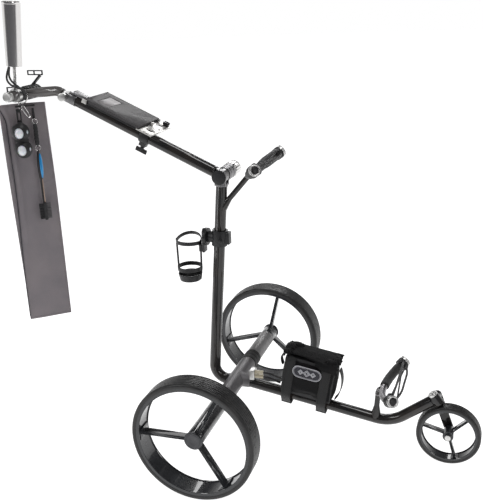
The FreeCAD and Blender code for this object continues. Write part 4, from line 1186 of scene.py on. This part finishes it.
# %% bag lid with gathered corners
def lid_point(x, run):
    """A point on the lid: run goes from the rear hinge, over the top and down the front."""
    side = smooth_step((x + 20) / 60)
    drop = 2 + 17 * side
    top = 74 - 14 * (1 - side)
    length = top + drop
    along = run * length
    crown = 3.2 * math.sin(math.pi * min(1, along / 74)) - 1.2 * (abs(x) / 71) ** 4
    if along <= top:
        y, z = 37 - along, 128.6 + crown
    else:
        over = (along - top) / max(drop, 1)
        turn = min(1, over * 1.6) * math.pi / 2
        y = 37 - top - 3.6 * math.sin(turn) - 0.3 * over
        z = 128.6 + crown - (along - top) * (0.35 + 0.65 * over)
    gather = smooth_step((abs(x) - 44) / 26)
    ruck = math.sin(along * 0.42 + x * 0.05) + 0.6 * math.sin(along * 0.93 + 2 + x * 0.09)
    z += gather * (2.6 * ruck + 1.5)
    x += gather * 1.6 * math.sin(along * 0.55 + 1.0)
    return Vector((x, y, z))


nothing_selected()
bpy.ops.mesh.primitive_grid_add(x_subdivisions=72, y_subdivisions=56, size=2)
bag_lid = bpy.context.object
for vertex in bag_lid.data.vertices:
    vertex.co = lid_point(vertex.co.x * 70.5, (vertex.co.y + 1) / 2)
edit(bag_lid, lambda: bpy.ops.mesh.normals_make_consistent(inside=False))
modify(bag_lid, "SOLIDIFY", thickness=2.6, offset=0, use_rim=True)
modify(bag_lid, "SUBSURF", levels=1, render_levels=1)
lobes = [bag_lid]
LOBES = (((-61, 4), (15, 22, 8.5)), ((-47, 20), (17, 14, 8)), ((61, -6), (13, 25, 9)),
         ((50, -24), (15, 11, 7)), ((-62, -22), (11, 13, 6)))
for (x, y), (long, wide, high) in LOBES:
    lobe = ball((0, 0, 0), 1, 4)
    for vertex in lobe.data.vertices:
        ruck = 1 + 0.16 * math.sin(9 * math.atan2(vertex.co.y, vertex.co.x) + 4 * vertex.co.z)
        spot = Vector((vertex.co.x * long * ruck, vertex.co.y * wide * ruck, vertex.co.z * high))
        vertex.co = spot + Vector((x, y, 130.5)) + crumple(spot, 7, x) * 1.5
    lobes.append(lobe)
bag_lid = joined(lobes)
modify(bag_lid, "REMESH", mode="VOXEL", voxel_size=1.1)
modify(bag_lid, "SMOOTH", factor=0.5, iterations=3)
moved(bag_lid, BAG)


def lid_limits(p):
    p = p + crumple(p, 11, 8) * 0.5
    p.x = max(-73.5, min(73.5, p.x))
    p.z = max(127.6, p.z) if p.y > -36.5 else p.z
    return p


reshaped(bag_lid, BAG, lid_limits)
dress(bag_lid, "battery_bag_lid", "nylon", "flap", "bag_fabric", "bag_flap", 60)
print("bag shell", len(shell.data.polygons), "faces, lid", len(bag_lid.data.polygons))

# %% [markdown]
# ## Webbing, buckles and the patch
# The straps are flat ribbed webbing with a stitched line near each front edge, and each is
# tensioned by a ladder buckle under the tube. The patch on the front is a plain pill-shaped
# badge with three diamonds, a mark that stands for no maker.

# %% webbing straps and buckles
def strip(points, half_wide, thick, wide_way=Vector((1, 0, 0))):
    """A flat band of webbing along a path, half_wide to each side of it."""
    mesh = bpy.data.meshes.new("strip")
    corners = [Vector(p) + wide_way * half_wide * side for p in points for side in (-1, 0, 1)]
    faces = [(3 * n + k, 3 * n + k + 1, 3 * n + k + 4, 3 * n + k + 3)
             for n in range(len(points) - 1) for k in (0, 1)]
    mesh.from_pydata(corners, [], faces)
    obj = bpy.data.objects.new("strip", mesh)
    bpy.context.scene.collection.objects.link(obj)
    modify(obj, "SUBSURF", levels=2, render_levels=2)
    edit(obj, lambda: bpy.ops.mesh.normals_make_consistent(inside=False))
    modify(obj, "SOLIDIFY", thickness=thick, offset=0)
    return bevelled(obj, thick * 0.3, 1, 40)


STRAP_PATH = [(-30, 122), (-37.5, 119), (-39.6, 112), (-39.9, 80), (-39.9, 40), (-39.6, 14), (-32, 2),
              (-19, -15.5), (-12, -17), (0, -16.6)]
straps, buckles = [], []
for at in STRAPS_AT:
    outline = [(at, y, z) for y, z in STRAP_PATH] + [(at, -y, z) for y, z in STRAP_PATH[-2::-1]]
    straps.append(strip(outline, 12, 1.6))
    for side in (-1, 1):
        straps.append(wire_through([(at + side * 10.2, y - 0.9, z) for y, z in STRAP_PATH[2:6]], 0.45, 6))
    frame_block = bevelled(block((at - 14, -12.5, -23.2), (at + 14, 12.5, -17.6)), 1.6, 3)
    slots = [block((at - 10.5, y - 1.6, -25), (at + 10.5, y + 1.6, -19.2)) for y in (-7.5, 0, 7.5)]
    for slot_cut in slots:
        boolean = frame_block.modifiers.new("slot", "BOOLEAN")
        boolean.operation, boolean.object = "DIFFERENCE", slot_cut
        only(frame_block)
        bpy.ops.object.modifier_apply(modifier=boolean.name)
        bpy.data.objects.remove(slot_cut)
    buckles.append(frame_block)
hand_loop = [(71.2, 0, 108), (74, 0, 105), (79.5, 0, 92), (83, 0, 76), (83.2, 0, 56), (80.5, 0, 40),
             (75, 0, 27), (71.2, 0, 22)]
straps.append(strip(hand_loop, 11.5, 1.8, ACROSS))
rear_tab = [(-71, -8, 110), (-74, -8, 113), (-78, -8, 112), (-79.5, -8, 104), (-77, -8, 92), (-71.4, -8, 84)]
straps.append(strip(rear_tab, 9, 1.6, ACROSS))
webbing = joined(straps)
moved(webbing, BAG)
dress(webbing, "battery_bag_straps", "webbing", "chassis", "webbing", "bag_straps", 45)
buckles = joined(buckles)
moved(buckles, BAG)
dress(buckles, "battery_bag_buckles", "plastic", "chassis", "black_plastic", ())

# %% generic patch
def pill_outline(half_long, half_high, steps=14):
    """Corners of a stadium shape round the origin."""
    reach = half_long - half_high
    outline = []
    for side in (1, -1):
        for step in range(steps + 1):
            angle = math.pi * (step / steps - 0.5) + (0 if side > 0 else math.pi)
            outline.append((side * reach + half_high * math.cos(angle), half_high * math.sin(angle)))
    return outline


PATCH_AT = Vector((-3, -41.4, 93))


def on_patch(x, z, lift=0.0):
    """The patch follows the swell of the bag."""
    return PATCH_AT + Vector((x, 1.6 * (x / 40) ** 2 - lift, z))


nothing_selected()
bpy.ops.mesh.primitive_grid_add(x_subdivisions=40, y_subdivisions=16, size=2)
patch = bpy.context.object
for vertex in patch.data.vertices:
    x, z = vertex.co.x * 22, vertex.co.y
    edge = abs(vertex.co.x)
    across = 22 + 14.5 * math.sqrt(max(0, 1 - z * z))
    vertex.co = on_patch(vertex.co.x * across, z * 15.5)
edit(patch, lambda: bpy.ops.mesh.normals_make_consistent(inside=False))
modify(patch, "SOLIDIFY", thickness=1.2, offset=0)
moved(patch, BAG)
dress(patch, "bag_patch", "dark_thread", "chassis", "bag_fabric", ())
threads = [wire_through([on_patch(x, z, 0.8) for x, z in pill_outline(half_long, half_high)], width, 8, True)
           for half_long, half_high, width in ((36.3, 15.3, 0.95), (33.6, 12.8, 0.35))]
for middle, size in ((-16, 6.5), (0, 8.5), (16, 6.5)):
    for scale in (1.0, 0.55):
        diamond = [(0, size * scale), (size * scale, 0), (0, -size * scale), (-size * scale, 0)]
        doubled = [point for corner in diamond for point in (corner, corner)]
        threads.append(wire_through([on_patch(middle + x, z, 0.8) for x, z in doubled], 0.8, 8, True))
patch_thread = joined(threads)
moved(patch_thread, BAG)
dress(patch_thread, "bag_patch_threads", "pale_thread", "chassis", "patch_thread", ())
print("straps, buckles and patch done")

# %% [markdown]
# ## Plug, lid and holders
# The battery plug is a satin block with two beige sockets. The scorecard lid carries a
# glossy inlay in its recess. The elastic strap on the bar is remeshed so that its loops and ribs
# run into one another the way moulded silicone does.

# %% battery plug and scorecard lid
plug = bevelled(block((40, -20, 163), (54, 4, 190)), 2.2, 3)
ribs = [bevelled(block((42 + 3.4 * n, -20.7, 165), (43.6 + 3.4 * n, 4.7, 188)), 0.5, 2) for n in range(3)]
plug = joined([plug] + ribs)
moved(plug, CART)
dress(plug, "battery_plug_block", "satin", "chassis", "plug_silver", "battery_plug")
BARREL = [(0, 0), (0, 5.2), (3.2, 5.2), (3.8, 4.5), (6, 4.5), (6.6, 5.2), (12, 5.2), (12.6, 4.6), (14.4, 4.6),
          (15, 5.2), (20.6, 5.2), (22, 4.2), (22, 0)]
for z, name in ((170.5, "low"), (182.5, "high")):
    lathe_piece("plug_socket_" + name, BARREL, (54, -8, z), CART, Vector((1, 0, 0)), "beige", "chassis",
                "plug_beige", (), 48)

lid_tray = from_node("scorecard_lid")
lid_tray = edit(lid_tray, lambda: bpy.ops.mesh.normals_make_consistent(inside=False))
bevelled(lid_tray, 0.0007, 3, 40)
dress(lid_tray, "scorecard_lid_tray", "lid", "lid", slot_of("scorecard_lid"), "scorecard_lid")
window = bevelled(block((316.4, -32.6, 35.2), (349.6, 32.6, 35.9)), 0.25, 2)
moved(window, SHAFT)
dress(window, "scorecard_window", "screen", "lid", slot_of("scorecard_lid"), ())
print("lid and plug done")

# %% device strap, umbrella tube
carry_cast("device_strap", "silicone", 0.0008, 3)
UMBRELLA_OUTLINE = [(0, 0), (0, 19.4), (0.5, 19.9), (147.2, 22.2), (147.6, 22.7), (148.2, 22.9), (152, 22.9),
                    (152.6, 22.4), (152.6, 21.0), (60, 18.4), (4, 18.4), (4, 0)]
lathe_piece("umbrella_cup", UMBRELLA_OUTLINE, (0, 0, 72.8), STICK, UP, "steel", "umbrella_holder",
            "umbrella_steel", "umbrella_tube", 96)

# %% [markdown]
# ## Balls in their sleeve
# A ball has a few hundred shallow dimples. Their middles come from a golden-angle spiral, and
# every point near a middle sinks a little. The sleeve is two thin shells melted together,
# with an oval window over each ball and a small slit beside it.

# %% golf balls
BALL_R = 21.35
BALLS_AT = (Vector((-14.4, -27, -67.7)), Vector((-12.5, -27, -111.7)))
DIMPLES = 332
spiral = kdtree.KDTree(DIMPLES)
for number in range(DIMPLES):
    height = 1 - 2 * (number + 0.5) / DIMPLES
    turn = number * math.pi * (3 - math.sqrt(5))
    flat = math.sqrt(1 - height * height)
    spiral.insert(Vector((flat * math.cos(turn), flat * math.sin(turn), height)), number)
spiral.balance()
balls = []
for place in BALLS_AT:
    sphere = ball((0, 0, 0), 1, 6)
    for vertex in sphere.data.vertices:
        out = vertex.co.normalized()
        away = (spiral.find(out)[0] - out).length * BALL_R
        sunk = 0.34 * max(0, 1 - (away / 1.75) ** 2)
        vertex.co = place + out * (BALL_R - sunk)
    balls.append(sphere)
pair = joined(balls)
moved(pair, HOOK)
dress(pair, "golf_balls_shown", "ball", "balls", "ball_white", "golf_balls", 60)


# %% ball sleeve
def oval(middle, half_wide, half_high, deep):
    """An oval peg along n, for cutting a window."""
    peg = rod((0, 0, 0), ACROSS, 1, 1, 40)
    for vertex in peg.data.vertices:
        vertex.co = Vector((middle[0] + vertex.co.x * half_wide, middle[1] + vertex.co.y * deep,
                            middle[2] + vertex.co.z * half_high))
    return peg


def cut_with(obj, tool):
    boolean = obj.modifiers.new("cut", "BOOLEAN")
    boolean.operation, boolean.object, boolean.solver = "DIFFERENCE", tool, "EXACT"
    only(obj)
    bpy.ops.object.modifier_apply(modifier=boolean.name)
    bpy.data.objects.remove(tool)
    return obj


waist = ball((0, 0, 0), 1, 4)
centre_of_pair = (BALLS_AT[0] + BALLS_AT[1]) / 2
for vertex in waist.data.vertices:
    vertex.co = centre_of_pair + Vector((vertex.co.x * 17.5, vertex.co.y * 10, vertex.co.z * 12))
sleeve = joined([ball(BALLS_AT[0], 22.9, 5), ball(BALLS_AT[1], 22.9, 5), waist,
                 bevelled(block((-17.8, -25, -50), (-6.2, -10.2, -44)), 1.4, 2)])
modify(sleeve, "REMESH", mode="VOXEL", voxel_size=0.9)
modify(sleeve, "SMOOTH", factor=0.5, iterations=4)
for place in BALLS_AT:
    cut_with(sleeve, ball(place, BALL_R + 0.15, 5))
    cut_with(sleeve, oval(place + Vector((-6, -16, -1)), 10.6, 14.2, 24))
    cut_with(sleeve, oval(place + Vector((15.6, -12, 1)), 2.3, 5.2, 24))
strap = bevelled(block((-18, -13.8, -48), (-6, -10.2, -11.7)), 1.2, 2)
cut_with(strap, bevelled(block((-14.5, -20, -40), (-9.5, 0, -20)), 1.2, 3))
sleeve = joined([sleeve, strap])
moved(sleeve, HOOK)
dress(sleeve, "ball_pouch_sleeve", "silicone", "balls", "pouch_black", "ball_pouch", 50)
print("sleeve", len(sleeve.data.polygons), "faces")

# %% [markdown]
# ## The club brush
# The brush hangs from a webbing tab, a split ring, a reel and a second ring. Its grip is a
# slim black moulding with a bright oval pad, and the head has soft bristles on one side
# and stiff wires on the other. Each tuft is its own tapered peg.

# %% brush and its lanyard
BRUSH_AT = Vector((24, -20, 0))


def at_brush(w, n, z):
    return BRUSH_AT + Vector((w, n, z))


def bar_from(start, axis, length, radius, sides=32, end_radius=None):
    """A rod that begins at start instead of having its middle there."""
    return rod(Vector(start) + Vector(axis) * length / 2, axis, length, radius, sides, end_radius)


def stretched_ball(middle, half, level=4):
    egg = ball((0, 0, 0), 1, level)
    for vertex in egg.data.vertices:
        vertex.co = Vector(middle) + Vector(vertex.co[axis] * half[axis] for axis in range(3))
    return egg


tab = [bevelled(block(at_brush(-3, 8, -38), at_brush(3, 10, -11.7)), 0.4, 2),
       bevelled(block(at_brush(-3, -1, -39), at_brush(3, 10, -37.2)), 0.4, 2),
       bevelled(block(at_brush(-5, -3, -106), at_brush(5, 3, -52)), 1.6, 3)]
for n in range(5):
    rib = block(at_brush(-5.4, -3.4, -64 - 9 * n), at_brush(5.4, 3.4, -60.5 - 9 * n))
    tab.append(bevelled(rib, 0.8, 2))
tab += [bar_from(at_brush(0, 0, -53), UP, 5, 1.6, 16), bar_from(at_brush(0, 0, -110), UP, 5, 1.6, 16)]
lanyard = joined(tab)
moved(lanyard, HOOK)
dress(lanyard, "brush_lanyard_reel", "plastic", "brush", "black_plastic", "brush_lanyard")
rings = []
for z, size in ((-45, 6.4), (-113, 6.8)):
    rings.append(ring(at_brush(0, -0.5, z), ACROSS, size, 0.75))
    rings.append(ring(at_brush(0, 0.6, z - 0.2), ACROSS, size, 0.75))
rings = joined(rings)
moved(rings, HOOK)
dress(rings, "brush_split_rings", "steel", "brush", "chrome", "brush_lanyard")

grip = joined([stretched_ball(at_brush(-1.2, 0, -163), (6.0, 6, 42)),
               bar_from(at_brush(-0.6, 0, -206), UP, 82, 2.8, 24),
               bar_from(at_brush(0, 0, -124), UP, 4.5, 3, 24),
               bar_from(at_brush(-1.6, 0, -261), UP, 62, 2.3, 24, 3.2),
               bevelled(block(at_brush(-4, -7, -306), at_brush(4, 7, -258)), 1.4, 2)])
modify(grip, "REMESH", mode="VOXEL", voxel_size=0.55)
modify(grip, "SMOOTH", factor=0.5, iterations=3)
moved(grip, HOOK)
dress(grip, "brush_grip", "plastic", "brush", "black_plastic", "brush", 50)
pad = stretched_ball(at_brush(2.4, -3.0, -160), (4.6, 4.6, 33))
moved(pad, HOOK)
dress(pad, "brush_pad", "blue", "brush", "brush_blue", (), 60)
stem = bar_from(at_brush(1.4, -1.6, -262), UP, 66, 1.5, 24)
moved(stem, HOOK)
dress(stem, "brush_stem", "copper", "brush", "brush_wire", ())
for side, name, finish, slot in ((-1, "brush_bristles", "plastic", "black_plastic"),
                                 (1, "brush_wires", "cast", "brush_wire")):
    tufts = []
    for row in range(11):
        for column in range(4):
            start = at_brush(side * 3.6, -4.8 + 3.2 * column, -264 - 3.7 * row)
            lean = Vector((side, 0.04 * math.sin(5 * row + column), 0.05 * math.cos(3 * row)))
            tufts.append(bar_from(start, lean.normalized(), 11.2, 1.15, 8, 1.5))
    tufts = joined(tufts)
    moved(tufts, HOOK)
    dress(tufts, name, finish, "brush", slot, ())
print("brush done")

# %% [markdown]
# ## The bag cradles
# Each cradle is one bent tube with a bright ring at each end and a black dome in the ring.
# A lobed rubber holder behind each ring grips the four elastic cords: two are pulled tight
# and cross, two hang slack in a bow. Foam sleeves pad the middle of the tube. One function
# builds a cradle in its own directions and is called twice.

# %% cradle builder
CRADLE_END = Vector((42.05, 100.03, 0))
CRADLE_OUT = Vector((0.7145, 0.6997, 0))
CRADLE_IN = Vector((0.6996, -0.7145, 0))
END_RING = [(4.2, 8), (4.2, 13.6), (4.7, 14.2), (7.0, 14.2), (7.3, 13.8), (8.0, 13.8), (8.3, 14.2),
            (9.8, 14.2),
            (10.8, 13.4), (11.3, 12.2), (11.2, 10.6), (10.4, 9.4), (8.1, 9.4), (8.1, 8)]
END_DOME = [(7.9, 0), (7.9, 9.3), (9.0, 9.2), (10.1, 8.0), (10.8, 5.5), (11.1, 0)]
CLOSED = Vector((1, 0, 0))
ALONG_ARC = Vector((0, 0, 1))


def mirrored(vector, side):
    """The far end is written down; the near end is its mirror image."""
    return Vector((vector.x, side * vector.y, vector.z))


def knot(side):
    return mirrored(CRADLE_END, side) - mirrored(CRADLE_OUT, side) * 6 + mirrored(CRADLE_IN, side) * 12


def foam_sleeve(place, low, high):
    """A lumpy sleeve along the cradle's arc, between two angles from its middle."""
    middle = Vector((140, 0, 0))
    sections = []
    rows, around = 44, 28
    for row in range(rows + 1):
        angle = math.radians(low + (high - low) * row / rows)
        centre = middle + Vector((-math.cos(angle), math.sin(angle), 0)) * 140
        outward = Vector((-math.cos(angle), math.sin(angle), 0))
        ends = min(row, rows - row)
        for step in range(around):
            turn = 2 * math.pi * step / around
            lump = 0.35 * noise.noise(Vector((row * 0.22, 2 * math.cos(turn), 2 * math.sin(turn))))
            radius = (9.6, 11.2, 11.5)[min(ends, 2)] + lump
            sections.append(centre + (outward * math.cos(turn) + ALONG_ARC * math.sin(turn)) * radius)
    faces = [(row * around + step, row * around + (step + 1) % around,
              (row + 1) * around + (step + 1) % around, (row + 1) * around + step)
             for row in range(rows) for step in range(around)]
    faces += [tuple(range(around)), tuple(rows * around + step for step in reversed(range(around)))]
    mesh = bpy.data.meshes.new("sleeve")
    mesh.from_pydata(sections, [], faces)
    sleeve_obj = bpy.data.objects.new("sleeve", mesh)
    bpy.context.scene.collection.objects.link(sleeve_obj)
    edit(sleeve_obj, lambda: bpy.ops.mesh.normals_make_consistent(inside=False))
    modify(sleeve_obj, "SUBSURF", levels=1, render_levels=1)
    return moved(sleeve_obj, place)


def build_cradle(name, stretches):
    place = cradle_place(name + "_tilt")
    carry_over(name, "cradle", 35)
    rings, domes = [], []
    for side in (-1, 1):
        end, outward = mirrored(CRADLE_END, side), mirrored(CRADLE_OUT, side)
        inward = mirrored(CRADLE_IN, side)
        rings.append(turned_profile(END_RING, end, outward, 72))
        domes.append(turned_profile(END_DOME, end, outward, 48))
        back = end - outward * 11.5
        lobes = [rod(back + outward * 8.2, outward, 16.0, 14.8, 48)]
        for across in (-9, 9):
            lobes.append(rod(back + inward * 10 + ALONG_ARC * across + outward * 5.5, outward, 11, 6))
        lobes += [ball(knot(side) + ALONG_ARC * across, 3.4, 3) for across in (-8, 0, 8)]
        holder = joined(lobes)
        modify(holder, "REMESH", mode="VOXEL", voxel_size=0.6)
        modify(holder, "SMOOTH", factor=0.5, iterations=5)
        moved(holder, place)
        dress(holder, f"{name}_holder_{'near' if side < 0 else 'far'}", "silicone", name, "cord_black",
              name.replace("cradle", "bungee"), 60)
    ring_pair = moved(joined(rings), place)
    dress(ring_pair, name + "_end_rings", "satin", name, "silver", ())
    dome_pair = moved(joined(domes), place)
    dress(dome_pair, name + "_end_domes", "plastic", name, "black_plastic", ())
    near, far = knot(-1), knot(1)
    strands = {}
    for label, slant, lift in (("cross_low", 8, 0), ("cross_high", -8, 5)):
        start = near + ALONG_ARC * slant + CLOSED * lift
        end = far - ALONG_ARC * slant + CLOSED * lift
        strands[label] = ([start, start.lerp(end, 0.33), start.lerp(end, 0.67), end], 2.0, "taut")
    for label, offset in (("slack_low", -6), ("slack_high", 6)):
        start = near + CLOSED * 3 + ALONG_ARC * offset
        end = far + CLOSED * 3 + ALONG_ARC * offset
        bow = CLOSED * 7.5 + ALONG_ARC * offset * 0.8
        strands[label] = ([start, start.lerp(end, 0.1) + bow * 0.55, start.lerp(end, 0.26) + bow,
                           start.lerp(end, 0.5) + bow * 0.93, start.lerp(end, 0.74) + bow,
                           start.lerp(end, 0.9) + bow * 0.55, end], 2.7, "loose")
    for label, (points, radius, lay) in strands.items():
        cord(f"{name}_{label}", points, radius, "braid", name, "cord_black", name.replace("cradle", "bungee"),
             place=place, far_end="object", stiffness="medium", lay=lay)
    sleeves = joined([foam_sleeve(place, low, high) for low, high in stretches])
    dress(sleeves, name.replace("cradle", "foam") + "_sleeve", "foam", name, "foam_black",
          name.replace("cradle", "foam"), 60)
    return place


# %% both cradles
for name, stretches in (("upper_cradle", [(-38, -5), (5, 40)]), ("lower_cradle", [(5, 40)])):
    build_cradle(name, stretches)
    print(name, "built")

# %% [markdown]
# ## The studio
# Gloss black needs something dark to reflect, or it turns grey. So the room is white where the
# camera looks, and dim overhead and behind it, as in a real studio. Long soft boxes in the
# dim part draw the bright streaks along the tubes, and the floor paper glows a little so that
# its white stays clean under the trolley. Behind the camera the paper goes dark too, which is
# what draws the dark stripe down polished steel.

# %% floor, sky and lights
def floor_paper():
    finish = Finish("floor_paper", Emission_Strength=0.97)
    tone = finish.noise(0.7, 2)
    finish.set("Base Color", finish.mix(tone, (0.5, 0.5, 0.5), (0.53, 0.53, 0.53)))
    east, north, high = finish.parts(finish.place())
    behind = ((east * math.sin(CAMERA_TURN) - north * math.cos(CAMERA_TURN) - 1.3) * 1.1).clamped()
    finish.set("Emission Color", finish.mix(behind, (1, 1, 1), (0.05, 0.05, 0.055)))
    finish.set("Roughness", 0.85 + tone * 0.1)
    return finish.material


nothing_selected()
bpy.ops.mesh.primitive_circle_add(vertices=96, radius=16, fill_type="NGON", location=(0, 0, 0))
floor = bpy.context.object
floor.name = "studio_floor"
floor.data.materials.append(floor_paper())


def soft_box(name, place, aim, size, power):
    data = bpy.data.lights.new(name, "AREA")
    data.shape = "RECTANGLE"
    data.size, data.size_y = size
    data.energy = power
    lamp = bpy.data.objects.new(name, data)
    bpy.context.scene.collection.objects.link(lamp)
    lamp.location = place
    lamp.rotation_euler = (Vector(aim) - Vector(place)).to_track_quat("-Z", "Y").to_euler()


soft_box("key_box", (-1.9, -2.1, 2.3), (0, 0, 0.45), (0.5, 1.9), 30)
soft_box("top_box", (0.2, 0.1, 3.1), (0.05, 0, 0.3), (2.4, 0.4), 26)
soft_box("edge_box", (2.5, -1.6, 1.7), (0, 0, 0.4), (0.3, 1.9), 16)
soft_box("rear_box", (-0.6, 2.9, 2.2), (0, 0, 0.4), (1.8, 0.6), 26)


class Sky(Finish):
    """The room's brightness by direction: the same expressions, on a world."""

    def __init__(self, name):
        self.material = bpy.data.worlds.new(name)
        self.material.use_nodes = True
        self.tree = self.material.node_tree
        self.shader = self.tree.nodes["Background"]


sky = Sky("studio_room")
bpy.context.scene.world = sky.material
east, north, high = sky.parts(sky.node("ShaderNodeTexCoord", out="Generated"))
towards = -math.sin(CAMERA_TURN), math.cos(CAMERA_TURN)
ahead = ((east * towards[0] + north * towards[1]) * 2.2 + 0.75).clamped()
low = (1.0 - (high - 0.1) * 3.2).clamped()
sky.set("Color", sky.mix(ahead * low, (0.1, 0.1, 0.105), (1, 1, 1)))
sky.set("Strength", 1.0)
bpy.context.scene.view_settings.view_transform = "Standard"
print("studio lit")
